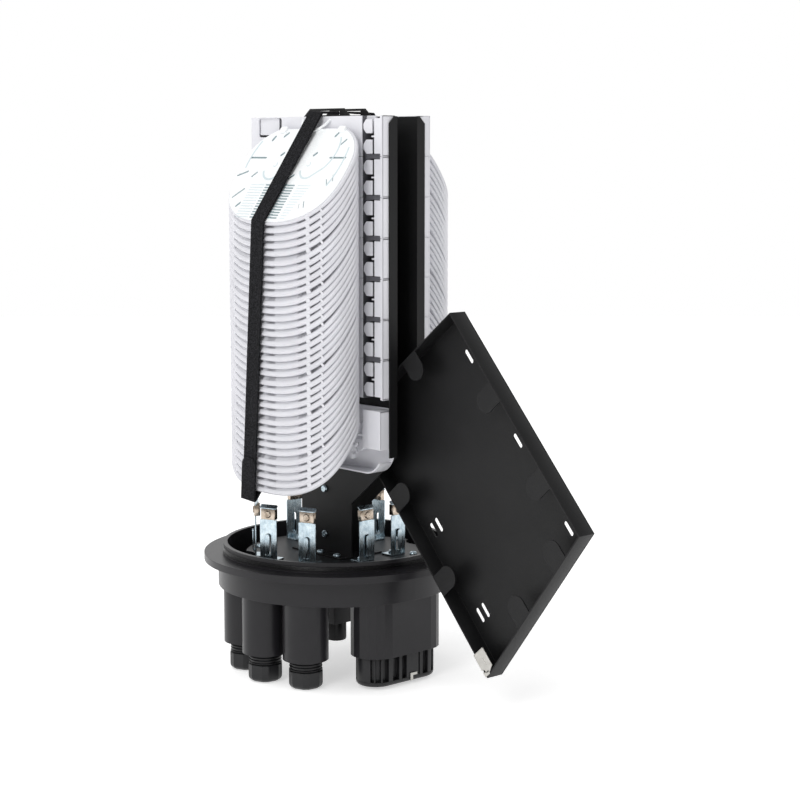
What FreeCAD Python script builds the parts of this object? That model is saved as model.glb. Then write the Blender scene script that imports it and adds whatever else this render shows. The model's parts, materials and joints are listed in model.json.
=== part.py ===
import FreeCAD, Part
import math
import os
import re

import Sketcher

V = FreeCAD.Vector

# Driving dimensions of the closure in millimetres and degrees.
# X runs along the tray panels, Y through the two tray stacks, Z up from the floor.
SIZES = {
    # moulded base
    "flange_radius": 142,
    "flange_thick": 7.5,
    "flange_bottom": 119.5,
    "skirt_radius": 127,
    "skirt_bottom": 92.3,
    "floor_thick": 6,
    "well_radius": 117,
    "collar_wall": 4.5,
    "collar_tall": 10.3,
    "groove_up": 2,
    "groove_tall": 4,
    "groove_deep": 3,
    "seal_thick": 3.4,
    # round cable ports
    "port_circle": 98,
    "port_radius": 24,
    "port_wall": 5.5,
    "port_step": 31,
    "joint_overlap": 1,
    "cut_over": 1,
    "rear_port_step": 15.5,
    "nut_tall": 19.2,
    "nut_radius": 18.6,
    "nut_corner": 11,
    "nut_foot_tall": 7,
    "nut_foot_in": 6,
    "cable_bore": 8,
    "plug_up": 2,
    "thread_tall": 11.1,
    "thread_radius": 17.3,
    "gland_inside": 12,
    "fit_gap": 0.3,
    # oval cable port
    "oval_centre": 96,
    "oval_half": 27,
    "oval_radius": 26.5,
    "oval_bottom": 34.6,
    "oval_lift": 2.8,
    "oval_plug_inside": 20,
    "oval_slot_wide": 7,
    "oval_slot_deep": 4,
    "oval_end_slot": 12,
    "oval_rim_tall": 5,
    "clip_wide": 8,
    "clip_thick": 1,
    "clip_tall": 9,
    # test valve in the middle of the base
    "valve_boss_half": 15,
    "valve_boss_bottom": 47.3,
    "valve_radius": 11,
    "valve_bore": 6.5,
    "valve_drop": 21,
    "valve_above": 3,
    # metal base plate and its posts
    "plate_radius": 97,
    "plate_thick": 3,
    "plate_top": 124.8,
    "post_radius": 6,
    "post_circle": 86,
    "port_notch": 19,
    "notch_out": 8,
    "screw_shank": 2,
    "screw_head": 4.2,
    "screw_head_tall": 2.6,
    "screw_long": 9,
    "screw_sides": 8,
    # cable brackets
    "bracket_wide": 20,
    "bracket_tall": 60,
    "bracket_thick": 1.5,
    "bracket_foot": 16,
    "bracket_hole_in": 9.6,
    "bracket_lip": 3.5,
    "bracket_notch": 2.6,
    "slot_wide": 6,
    "slot_tall": 24,
    "slot_up": 5,
    "tongue_out": 2.8,
    "tongue_thick": 1.2,
    "band_tall": 11.8,
    "band_down": 4.2,
    "band_deep": 5,
    "band_thick": 0.8,
    "clamp_screw": 3.8,
    "clamp_screw_tall": 1.2,
    # folded tray frame
    "sheet": 1.5,
    "hollow": 27,
    "panel_wide": 216,
    "panel_centre": 7,
    "panel_top": 588.6,
    "panel_bottom": 242.3,
    "lip_wide": 9,
    "lip_chamfer": 7,
    "neck_half": 41,
    "neck_centre": 1.7,
    "neck_top": 183.3,
    "lug_base": 39,
    "lug_half": 27.5,
    "lug_centre": 6,
    "lug_tall": 9.2,
    "lug_slot_centre": 9,
    "lug_slot_wide": 36,
    "lug_slot_tall": 4.4,
    "lug_slot_up": 2.4,
    "foot_deep": 14,
    "foot_hole_out": 7.7,
    "foot_screw_step": 27,
    "neck_screw_low": 145.3,
    "neck_screw_high": 194.7,
    # groove plates that hold the trays
    "plate_deep": 18,
    "module_pitch": 41,
    "modules": 7,
    "module_gap": 0.5,
    "module_rise": 1.2,
    "module_shell": 2,
    "recess_left": 76,
    "recess_right": 96,
    "recess_deep": 9,
    "rib_tall": 4,
    "tab_wide": 13,
    "tab_tall": 14,
    "tab_cut": 4,
    "tab_low": 9.5,
    "tab_pitch": 20.5,
    "tab_sunk": 1,
    "window_left": 93,
    "window_wide": 41,
    "window_tall": 20,
    # splice trays
    "trays_per_module": 5,
    "tray_pitch": 7.8,
    "tray_tilt": 55,
    "tray_thick": 3.9,
    "tray_wide": 179,
    "tray_long": 125,
    "tray_crown": 58,
    "tray_shift": 4.5,
    "tray_drop": 7,
    "tray_gap": 0.4,
    "cover_thick": 1.2,
    "cover_inset": 2,
    # white fibre organizer under the groove plates
    "organizer_down": 10.5,
    "organizer_tall": 68,
    "organizer_left": 40,
    "organizer_box": 27,
    "organizer_deep": 21,
    "organizer_wall": 2,
    "organizer_round": 26,
    # hook and loop strap
    "strap_wide": 20,
    "strap_thick": 1.8,
    "strap_gap": 1.2,
    "strap_lean": 3.9,
    "strap_centre": 6,
    "strap_pivot": 484.3,
    "strap_under": 70,
    "strap_end": 3,
    # basket for the spare loose tubes
    "basket_deep": 21.2,
    "basket_sheet": 1.5,
    "basket_corner_x": 33,
    "basket_corner_z": 272.8,
    "basket_lean": 48.2,
    "basket_long": 317.5,
    "basket_short": 265.5,
    "basket_wide": 198,
    "basket_taper": 11.4,
    "keeper_reach": 28,
    "keeper_broad": 24,
    "keeper_cut": 7,
    "keeper_first": 108,
    "keeper_step": 102,
    "end_keeper_low": 82,
    "end_keeper_high": 158,
    "tie_slot_long": 16,
    "tie_slot_wide": 4.6,
    "tie_first": 50,
    "tie_step": 103,
    "tie_inset": 24,
    "tie_pair_gap": 9.8,
    "tie_pair_inset": 14,
    "pivot_x": 76,
    "pivot_z": 272.8,
    "pivot_radius": 4,
    "pivot_gap": 0.08,
    "sleeve_radius": 7,
    "latch_long": 24,
    "latch_wide": 16,
    "latch_thick": 1,
    "latch_inset": 3,
    "latch_deep": 12.7,
}

FLANGE_TOP = "(flange_bottom + flange_thick)"
COLLAR_TOP = "(flange_bottom + flange_thick + collar_tall)"
COLLAR_RADIUS = "(well_radius + collar_wall)"
PORT_BOTTOM = "(nut_tall + thread_tall)"
PANEL_LEFT = "(panel_centre - panel_wide / 2)"
PANEL_RIGHT = "(panel_centre + panel_wide / 2)"
PANEL_FACE = "(hollow / 2 + sheet)"
PLATE_FACE = "(hollow / 2 + sheet + plate_deep)"
PLATE_BOTTOM = "(plate_top - plate_thick)"
OVAL_PLUG_RADIUS = "(oval_radius - port_wall - fit_gap)"
MODULE_TOP = "(panel_top + module_rise)"
BASE_FLOOR = "(skirt_bottom + floor_thick)"
PORT_BORE = "(port_radius - port_wall)"
ORGANIZER_TOP = "(panel_top + module_rise - module_pitch * modules - organizer_down)"
ORGANIZER_BOTTOM = "(panel_top + module_rise - module_pitch * modules - organizer_down - organizer_tall)"
BAND_LOW = "(bracket_tall - band_down - band_tall)"
STACK_STEP = "(module_pitch * (modules - 1) + tray_pitch * (trays_per_module - 1))"
BASKET_NEAR = "(basket_long - basket_short - basket_wide * tan(basket_taper))"

# The squareness of the trays' outline and the angles of its points, from the hinge round to the nose.
TRAY_SQUARE = 2.5
TRAY_ANGLES = (62, 90, 115, 136, 161)

# Bearings of the round ports about the base axis, counted from -Y towards +X.
PORT_BEARINGS = {
    "1": "-port_step",
    "2": "0",
    "3": "port_step",
    "4": "180 - rear_port_step",
    "5": "180 + rear_port_step",
}
OVAL_SLOTS = ["-20.5", "-10.5", "18.5"]
POST_BEARINGS = ["-55", "15", "55", "125", "180", "235"]

# Each cable bracket's bearing, distance from the axis and facing direction.
BRACKETS = {
    "1": ("-26", "89", "-38"),
    "2": ("-5", "87", "22"),
    "3": ("26.5", "76", "22"),
    "4": ("80", "66", "90"),
    "5": ("118", "72", "92"),
    "6": ("193", "80", "182"),
    "7": ("264", "84", "268"),
}


def open_document():
    """Make the document and its sheet of driving dimensions."""
    document = FreeCAD.newDocument("dome_splice_closure")
    sheet = document.addObject("Spreadsheet::Sheet", "Sizes")
    for row, (alias, number) in enumerate(SIZES.items(), 1):
        sheet.set(f"A{row}", alias)
        sheet.set(f"B{row}", str(number))
        sheet.setAlias(f"B{row}", alias)
    document.recompute()
    return document, sheet


doc, sizes = open_document()


def formula(text):
    """Name the sheet in front of each size in an expression."""
    return re.sub(r"[a-z]\w*", lambda word: "Sizes." + word.group() if word.group() in SIZES else word.group(), text)


def number(text):
    """Work an expression out from the sheet."""
    return float(sizes.evalExpression(formula(text)))


def new_body(label):
    """Start a sub-part."""
    body = doc.addObject("PartDesign::Body", label)
    body.Label = label
    return body


def datum(body, role):
    """Find a body's own origin plane or axis."""
    return next(item for item in body.Origin.OriginFeatures if item.Role == role)


def new_sketch(body, role, lift="0"):
    """Put a sketch on an origin plane, lifted along the plane's normal."""
    sketch = body.newObject("Sketcher::SketchObject", "Sketch")
    sketch.AttachmentSupport = [(datum(body, role), "")]
    sketch.MapMode = "FlatFace"
    sketch.AttachmentOffset = FreeCAD.Placement(V(0, 0, number(lift)), FreeCAD.Rotation())
    sketch.setExpression("AttachmentOffset.Base.z", formula(lift))
    return sketch


def bind(sketch, kind, *where, text):
    """Add a dimension to a sketch and tie it to the sheet."""
    index = sketch.addConstraint(Sketcher.Constraint(kind, *where, number(text)))
    sketch.setExpression(f"Constraints[{index}]", formula(text))


def draw_outline(sketch, corners):
    """Draw a closed outline; a corner is (x, y) or (x, y, radius)."""
    points = [V(number(corner[0]), number(corner[1]), 0) for corner in corners]
    count = len(corners)
    entries, exits, arcs = list(points), list(points), {}
    for i, corner in enumerate(corners):
        if len(corner) < 3:
            continue
        radius = number(corner[2])
        back = (points[i - 1] - points[i]).normalize()
        ahead = (points[(i + 1) % count] - points[i]).normalize()
        half = back.getAngle(ahead) / 2
        middle = (back + ahead).normalize()
        entries[i] = points[i] + back * (radius / math.tan(half))
        exits[i] = points[i] + ahead * (radius / math.tan(half))
        crown = points[i] + middle * (radius / math.sin(half) - radius)
        arcs[i] = Part.Arc(entries[i], crown, exits[i])
    lines = [sketch.addGeometry(Part.LineSegment(exits[i], entries[(i + 1) % count])) for i in range(count)]
    for i, corner in enumerate(corners):
        before, after = lines[i - 1], lines[i]
        if i not in arcs:
            sketch.addConstraint(Sketcher.Constraint("Coincident", before, 2, after, 1))
            bind(sketch, "DistanceX", -1, 1, after, 1, text=corner[0])
            bind(sketch, "DistanceY", -1, 1, after, 1, text=corner[1])
            continue
        arc = sketch.addGeometry(arcs[i])
        near = 1 if sketch.getPoint(arc, 1).distanceToPoint(entries[i]) < 1e-6 else 2
        sketch.addConstraint(Sketcher.Constraint("Tangent", before, 2, arc, near))
        sketch.addConstraint(Sketcher.Constraint("Tangent", after, 1, arc, 3 - near))
        bind(sketch, "Radius", arc, text=corner[2])
        vertex = sketch.addGeometry(Part.Point(points[i]), True)
        sketch.addConstraint(Sketcher.Constraint("PointOnObject", vertex, 1, before))
        sketch.addConstraint(Sketcher.Constraint("PointOnObject", vertex, 1, after))
        bind(sketch, "DistanceX", -1, 1, vertex, 1, text=corner[0])
        bind(sketch, "DistanceY", -1, 1, vertex, 1, text=corner[1])
    return sketch


def draw_circle(sketch, x, y, radius):
    """Draw a circle about a point."""
    circle = sketch.addGeometry(Part.Circle(V(number(x), number(y), 0), V(0, 0, 1), number(radius)))
    bind(sketch, "DistanceX", -1, 1, circle, 3, text=x)
    bind(sketch, "DistanceY", -1, 1, circle, 3, text=y)
    bind(sketch, "Radius", circle, text=radius)
    return sketch


def draw_polygon(sketch, x, y, radius, sides=6):
    """Draw a regular polygon, which keeps small repeated pieces light."""
    return draw_outline(sketch, [
        (f"{x} + ({radius}) * cos({360 * i / sides})", f"{y} + ({radius}) * sin({360 * i / sides})")
        for i in range(sides)
    ])


def prism(body, height, radius, length, name, sides=12, place=("0", "0")):
    """Add a regular prism that stands on a height."""
    sketch = draw_polygon(new_sketch(body, "XY_Plane", height), *place, radius, sides)
    return pad(body, sketch, length, name)


def prism_bore(body, height, radius, length, name, sides=12, place=("0", "0")):
    """Cut a regular prism upwards from a height."""
    sketch = draw_polygon(new_sketch(body, "XY_Plane", height), *place, radius, sides)
    return pocket(body, sketch, length, name, backwards=True)


def box_corners(left, right, low, high, radius=None):
    """List the corners of a rectangle, rounded if a radius is given."""
    rounding = () if radius is None else (radius,)
    return [(x, y, *rounding) for x, y in ((left, low), (right, low), (right, high), (left, high))]


def slot_corners(left, right, low, high, cut):
    """List the corners of a slot whose four corners are cut off."""
    return [
        (f"{left} + {cut}", low),
        (f"{right} - {cut}", low),
        (right, f"{low} + {cut}"),
        (right, f"{high} - {cut}"),
        (f"{right} - {cut}", high),
        (f"{left} + {cut}", high),
        (left, f"{high} - {cut}"),
        (left, f"{low} + {cut}"),
    ]


def on_bearing(bearing, distance):
    """Give the place at a bearing from -Y towards +X and a distance from the axis."""
    return f"({distance}) * sin({bearing})", f"-({distance}) * cos({bearing})"


def finish_feature(body, feature, name):
    """Label a feature, make it the body's tip and build it."""
    feature.Label = f"{body.Label} {name}"
    body.Tip = feature
    doc.recompute()
    return feature


def pad(body, sketch, length, name="pad", backwards=False):
    """Add material from a sketch."""
    feature = body.newObject("PartDesign::Pad", "Pad")
    feature.Profile = sketch
    feature.Reversed = backwards
    feature.setExpression("Length", formula(length))
    return finish_feature(body, feature, name)


def pocket(body, sketch, length, name="pocket", backwards=False):
    """Cut material away and make sure that something was cut."""
    before = body.Shape.Volume
    feature = body.newObject("PartDesign::Pocket", "Pocket")
    feature.Profile = sketch
    feature.Reversed = backwards
    feature.setExpression("Length", formula(length))
    finish_feature(body, feature, name)
    if body.Shape.Volume > before - 1e-3:
        raise RuntimeError(f"{body.Label}: {name} cuts nothing")
    return feature


def revolve(body, sketch, name="turned"):
    """Turn a profile about the sketch's vertical axis."""
    feature = body.newObject("PartDesign::Revolution", "Revolution")
    feature.Profile = sketch
    feature.ReferenceAxis = (sketch, ["V_Axis"])
    feature.Angle = 360
    return finish_feature(body, feature, name)


def repeat(body, originals, axis, length, count, name="row"):
    """Repeat features in a straight row."""
    feature = body.newObject("PartDesign::LinearPattern", "LinearPattern")
    feature.Originals = originals
    feature.Direction = (datum(body, axis), [""])
    feature.Length = number(length)
    feature.Occurrences = int(number(count))
    feature.setExpression("Length", formula(length))
    feature.setExpression("Occurrences", formula(count))
    return finish_feature(body, feature, name)


def stand(body, x="0", y="0", z="0", turn="0"):
    """Place a sub-part, turned about the vertical."""
    body.Placement = FreeCAD.Placement(V(number(x), number(y), number(z)), FreeCAD.Rotation(V(0, 0, 1), number(turn)))
    body.setExpression("Placement.Base.x", formula(x))
    body.setExpression("Placement.Base.y", formula(y))
    body.setExpression("Placement.Base.z", formula(z))
    body.setExpression("Placement.Rotation.Angle", formula(turn))
    return body


def group(label, pieces):
    """Join identical pieces into one sub-part of separate solids."""
    compound = doc.addObject("Part::Compound", label)
    compound.Label = label
    compound.Links = pieces
    doc.recompute()
    return compound


def turned(label, profile):
    """Make a piece by turning a profile of radius and height."""
    body = new_body(label)
    revolve(body, draw_outline(new_sketch(body, "XZ_Plane"), profile))
    return body


def stadium(sketch, centre, half, radius):
    """Draw an oval that is long in Y, about a point on the X axis, with facetted ends."""
    end = [
        (f"{centre} + ({radius}) * cos({angle})", f"({half}) + ({radius}) * sin({angle})")
        for angle in range(0, 181, 20)
    ]
    return draw_outline(sketch, end + [(x, f"-({y})") for x, y in reversed(end)])


def base_body():
    """The moulded base: skirt, flange, seal collar, port tubes and posts in one piece."""
    body = new_body("base_body")
    groove_floor = f"{COLLAR_RADIUS} - groove_deep"
    groove_low = f"({FLANGE_TOP} + groove_up)"
    revolve(body, draw_outline(new_sketch(body, "XZ_Plane"), [
        ("0", "skirt_bottom"),
        ("skirt_radius", "skirt_bottom"),
        ("skirt_radius", "flange_bottom"),
        ("flange_radius", "flange_bottom"),
        ("flange_radius", FLANGE_TOP),
        (COLLAR_RADIUS, FLANGE_TOP),
        (COLLAR_RADIUS, groove_low),
        (groove_floor, groove_low),
        (groove_floor, f"{groove_low} + groove_tall"),
        (COLLAR_RADIUS, f"{groove_low} + groove_tall"),
        (COLLAR_RADIUS, COLLAR_TOP),
        ("well_radius", COLLAR_TOP),
        ("well_radius", BASE_FLOOR),
        ("0", BASE_FLOOR),
    ]), "shell")
    tubes = new_sketch(body, "XY_Plane", PORT_BOTTOM)
    bores = new_sketch(body, "XY_Plane", PORT_BOTTOM)
    for bearing in PORT_BEARINGS.values():
        x, y = on_bearing(bearing, "port_circle")
        draw_circle(tubes, x, y, "port_radius")
        draw_circle(bores, x, y, PORT_BORE)
    pad(body, tubes, f"skirt_bottom + joint_overlap - {PORT_BOTTOM}", "port tubes")
    oval = stadium(new_sketch(body, "XY_Plane", "oval_bottom"), "oval_centre", "oval_half", "oval_radius")
    pad(body, oval, "skirt_bottom + joint_overlap - oval_bottom", "oval port")
    boss = new_sketch(body, "XY_Plane", "valve_boss_bottom")
    draw_outline(boss, box_corners("-valve_boss_half", "valve_boss_half", "-valve_boss_half", "valve_boss_half"))
    pad(body, boss, "skirt_bottom + joint_overlap - valve_boss_bottom", "valve boss")
    posts = new_sketch(body, "XY_Plane", f"{BASE_FLOOR} - joint_overlap")
    holes = new_sketch(body, "XY_Plane", PLATE_BOTTOM)
    for bearing in POST_BEARINGS:
        x, y = on_bearing(bearing, "post_circle")
        draw_polygon(posts, x, y, "post_radius", 8)
        draw_polygon(holes, x, y, "screw_shank + fit_gap")
    pad(body, posts, f"{PLATE_BOTTOM} - {BASE_FLOOR} + joint_overlap", "posts")
    pocket(body, bores, f"{BASE_FLOOR} + joint_overlap - {PORT_BOTTOM}", "port bores", backwards=True)
    oval_bore = stadium(
        new_sketch(body, "XY_Plane", "oval_bottom"), "oval_centre", "oval_half", "oval_radius - port_wall")
    pocket(body, oval_bore, f"{BASE_FLOOR} + joint_overlap - oval_bottom", "oval bore", backwards=True)
    valve = draw_polygon(new_sketch(body, "XY_Plane", "valve_boss_bottom"), "0", "0", "valve_bore", 12)
    pocket(body, valve, f"{BASE_FLOOR} + joint_overlap - valve_boss_bottom", "valve bore", backwards=True)
    pocket(body, holes, "screw_long", "post holes")
    return body


def flange_seal():
    """The rubber ring in the collar's groove, which stands a little proud of it."""
    inner = f"{COLLAR_RADIUS} - groove_deep + fit_gap"
    low = f"{FLANGE_TOP} + groove_up + fit_gap"
    high = f"{FLANGE_TOP} + groove_up + groove_tall - fit_gap"
    return turned("flange_seal", box_corners(inner, f"{inner} + seal_thick", low, high))


def base_plate():
    """The round metal plate on the posts, notched where the ports come up."""
    body = new_body("base_plate")
    disc = draw_circle(new_sketch(body, "XY_Plane", PLATE_BOTTOM), "0", "0", "plate_radius")
    pad(body, disc, "plate_thick", "disc")
    notches = new_sketch(body, "XY_Plane", PLATE_BOTTOM)
    for bearing in PORT_BEARINGS.values():
        x, y = on_bearing(bearing, "port_circle + notch_out")
        draw_polygon(notches, x, y, "port_notch", 16)
    pocket(body, notches, "plate_thick", "port notches", backwards=True)
    holes = new_sketch(body, "XY_Plane", PLATE_BOTTOM)
    for bearing in POST_BEARINGS:
        draw_polygon(holes, *on_bearing(bearing, "post_circle"), "screw_shank + fit_gap")
    pocket(body, holes, "plate_thick", "screw holes", backwards=True)
    return body


def pan_screw(label, length="screw_long"):
    """A pan head screw that stands on its shank, its head's seat at the origin."""
    body = new_body(label)
    prism(body, f"-({length})", "screw_shank", length, "shank", 6)
    prism(body, "0", "screw_head", "screw_head_tall", "head", 8)
    return body


def base_plate_screws():
    """Six screws through the plate into the posts."""
    screws = []
    for bearing in POST_BEARINGS:
        screws.append(stand(pan_screw("plate_screw"), *on_bearing(bearing, "post_circle"), "plate_top"))
    return group("base_plate_screws", screws)


def port_gland(name, bearing):
    """The gland body in a round port: a threaded neck below, a sleeve inside the tube."""
    body = new_body(f"port_gland_{name}")
    prism(body, "nut_tall", "thread_radius", "thread_tall", "neck", 16)
    prism(body, PORT_BOTTOM, f"{PORT_BORE} - fit_gap", "gland_inside", "sleeve", 16)
    prism_bore(body, "nut_tall", "cable_bore", "thread_tall + gland_inside", "bore")
    return stand(body, *on_bearing(bearing, "port_circle"))


def nut_corners(shrink):
    """The outline of a cap nut: a hexagon with its corners cut off, drawn in by a distance."""
    radius = f"(nut_radius - {shrink})"
    return [
        (f"{radius} * cos({turn} {sign} nut_corner)", f"{radius} * sin({turn} {sign} nut_corner)")
        for turn in range(0, 360, 60)
        for sign in "-+"
    ]


def gland_nut(bearing):
    """The cap nut that squeezes a gland, drawn in at its foot."""
    body = new_body("gland_nut")
    levels = [
        ("0", "nut_foot_in"),
        ("nut_foot_tall", "0"),
        ("nut_tall - fit_gap", "0"),
    ]
    rings = [draw_outline(new_sketch(body, "XY_Plane", height), nut_corners(inward)) for height, inward in levels]
    loft = body.newObject("PartDesign::AdditiveLoft", "AdditiveLoft")
    loft.Profile = rings[0]
    loft.Sections = rings[1:]
    loft.Ruled = True
    finish_feature(body, loft, "flats")
    prism_bore(body, "0", "cable_bore", "nut_tall", "bore")
    return stand(body, *on_bearing(bearing, "port_circle"))


def port_plugs():
    """The blind plugs that close the glands of unused ports."""
    plugs = []
    for bearing in PORT_BEARINGS.values():
        plug = new_body("port_plug")
        prism(plug, "plug_up", "cable_bore - fit_gap", f"{PORT_BOTTOM} + gland_inside - plug_up", "plug")
        plugs.append(stand(plug, *on_bearing(bearing, "port_circle")))
    return group("port_plugs", plugs)


def oval_slot(x, y, turn, wide):
    """A slot that opens outwards at a place on the oval plug's rim, in a direction."""
    half = f"({wide}) / 2"
    corners = []
    for out, side in box_corners("-oval_slot_deep", "cut_over", f"-{half}", half):
        across = f"{x} + ({out}) * cos({turn}) - ({side}) * sin({turn})"
        along = f"{y} + ({out}) * sin({turn}) + ({side}) * cos({turn})"
        corners.append((across, along))
    return corners


def oval_port_seal():
    """The slotted oval plug under the oval port."""
    body = new_body("oval_port_seal")
    plug = stadium(new_sketch(body, "XY_Plane", "oval_lift"), "oval_centre", "oval_half", OVAL_PLUG_RADIUS)
    pad(body, plug, "oval_bottom + oval_plug_inside - oval_lift", "plug")
    slots = new_sketch(body, "XY_Plane", "oval_lift + oval_rim_tall")
    for turn in (0, 180):
        x = f"oval_centre + {OVAL_PLUG_RADIUS} * cos({turn})"
        for place in OVAL_SLOTS:
            draw_outline(slots, oval_slot(x, place, turn, "oval_slot_wide"))
    for turn in (-150, -90, -30, 30, 90, 150):
        x = f"oval_centre + {OVAL_PLUG_RADIUS} * cos({turn})"
        y = f"{'-' if turn < 0 else ''}oval_half + {OVAL_PLUG_RADIUS} * sin({turn})"
        draw_outline(slots, oval_slot(x, y, turn, "oval_end_slot"))
    pocket(body, slots, "oval_bottom - oval_lift - oval_rim_tall - fit_gap", "slots", backwards=True)
    return body


def oval_seal_clip():
    """The small steel clip at the rim of the oval plug."""
    body = new_body("oval_seal_clip")
    face = f"oval_centre + {OVAL_PLUG_RADIUS}"
    sketch = new_sketch(body, "XY_Plane", "oval_lift + fit_gap")
    draw_outline(sketch, box_corners(face, f"{face} + clip_thick", "-clip_wide / 2", "clip_wide / 2"))
    pad(body, sketch, "clip_tall", "leaf")
    return body


def test_valve():
    """The valve stem in the boss under the middle of the base."""
    body = new_body("test_valve")
    prism(body, "valve_boss_bottom - valve_drop", "valve_radius", "valve_drop", "cap")
    stem = f"{BASE_FLOOR} + valve_above - valve_boss_bottom"
    prism(body, "valve_boss_bottom", "valve_bore - fit_gap", stem, "stem")
    return body


def cable_bracket(name, bearing, distance, facing):
    """A bent steel bracket: foot, notched upright with a slot and a tongue, and a sloping top lip."""
    body = new_body(f"cable_bracket_{name}")
    side = new_sketch(body, "YZ_Plane", "-bracket_wide / 2")
    draw_outline(side, [
        ("0", "0"),
        ("bracket_foot", "0"),
        ("bracket_foot", "bracket_thick"),
        ("bracket_thick", "bracket_thick"),
        ("bracket_thick", "bracket_tall - bracket_lip"),
        ("bracket_thick + bracket_lip", "bracket_tall"),
        ("bracket_lip", "bracket_tall"),
        ("0", "bracket_tall - bracket_lip"),
    ])
    pad(body, side, "bracket_wide", "folded strip")
    cuts = new_sketch(body, "XZ_Plane", "-bracket_thick - cut_over")
    slot_high = "slot_up + slot_tall"
    draw_outline(cuts, slot_corners("-slot_wide / 2", "slot_wide / 2", "slot_up", slot_high, "slot_wide / 4"))
    for sign in "-+":
        inner, outer = f"{sign}(bracket_wide / 2 - bracket_notch)", f"{sign}(bracket_wide / 2 + cut_over)"
        draw_outline(cuts, box_corners(inner, outer, BAND_LOW, f"{BAND_LOW} + band_tall"))
    pocket(body, cuts, "bracket_thick + 2 * cut_over", "slot and notches", backwards=True)
    tongue = new_sketch(body, "YZ_Plane", "-slot_wide / 2 + fit_gap")
    draw_outline(tongue, [
        ("0", "slot_up - tongue_thick"),
        ("-tongue_out", "slot_up + tongue_out - tongue_thick"),
        ("-tongue_out", slot_high),
        ("-tongue_out + tongue_thick", slot_high),
        ("-tongue_out + tongue_thick", "slot_up + tongue_out - tongue_thick / 2"),
        ("bracket_thick / 2", "slot_up"),
        ("bracket_thick / 2", "slot_up - tongue_thick"),
    ])
    pad(body, tongue, "slot_wide - 2 * fit_gap", "tongue")
    prism_bore(body, "0", "screw_shank + fit_gap", "bracket_thick", "screw hole", 6, ("0", "bracket_hole_in"))
    return stand(body, *on_bearing(bearing, distance), "plate_top", facing)


def bracket_screws():
    """One screw down through each bracket's foot."""
    screws = []
    for bearing, distance, facing in BRACKETS.values():
        x, y = on_bearing(bearing, distance)
        x = f"{x} - bracket_hole_in * sin({facing})"
        y = f"{y} + bracket_hole_in * cos({facing})"
        screw = pan_screw("bracket_screw", "bracket_thick - fit_gap")
        screws.append(stand(screw, x, y, "plate_top + bracket_thick", facing))
    return group("bracket_screws", screws)


def clamp_bands():
    """The clamp boxes in the notches of the brackets' upper ends."""
    bands = []
    for bearing, distance, facing in BRACKETS.values():
        band = new_body("clamp_band")
        outer = new_sketch(band, "XY_Plane", f"{BAND_LOW} + fit_gap")
        half = "bracket_wide / 2 - bracket_notch + fit_gap"
        wall = "band_thick"
        draw_outline(outer, box_corners(f"-({half} + {wall})", f"{half} + {wall}", f"-{wall}", f"band_deep + {wall}"))
        draw_outline(outer, box_corners(f"-({half})", half, "0", "band_deep"))
        pad(band, outer, "band_tall - 2 * fit_gap", "band")
        bands.append(stand(band, *on_bearing(bearing, distance), "plate_top", facing))
    return group("clamp_bands", bands)


def clamp_screws():
    """The large flat heads of the cross screws in the clamp boxes' faces."""
    screws = []
    for bearing, distance, facing in BRACKETS.values():
        screw = new_body("clamp_screw")
        height = f"{BAND_LOW} + band_tall / 2"
        head = draw_polygon(new_sketch(screw, "XZ_Plane", "band_thick"), "0", height, "clamp_screw", 8)
        pad(screw, head, "clamp_screw_tall", "head")
        screws.append(stand(screw, *on_bearing(bearing, distance), "plate_top", facing))
    return group("clamp_screws", screws)


def panel_corners():
    """The outline of the front and rear panels, with the strap lug and the neck."""
    right, left = PANEL_RIGHT, PANEL_LEFT
    return [
        ("neck_centre - neck_half", "plate_top"),
        ("neck_centre + neck_half", "plate_top"),
        ("neck_centre + neck_half", "neck_top"),
        (right, "panel_bottom"),
        (right, "panel_top"),
        ("lug_centre + lug_base", "panel_top"),
        ("lug_centre + lug_half", "panel_top + lug_tall"),
        ("lug_centre - lug_half", "panel_top + lug_tall"),
        ("lug_centre - lug_base", "panel_top"),
        (left, "panel_top"),
        (left, "panel_bottom"),
        ("neck_centre - neck_half", "neck_top"),
    ]


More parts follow.
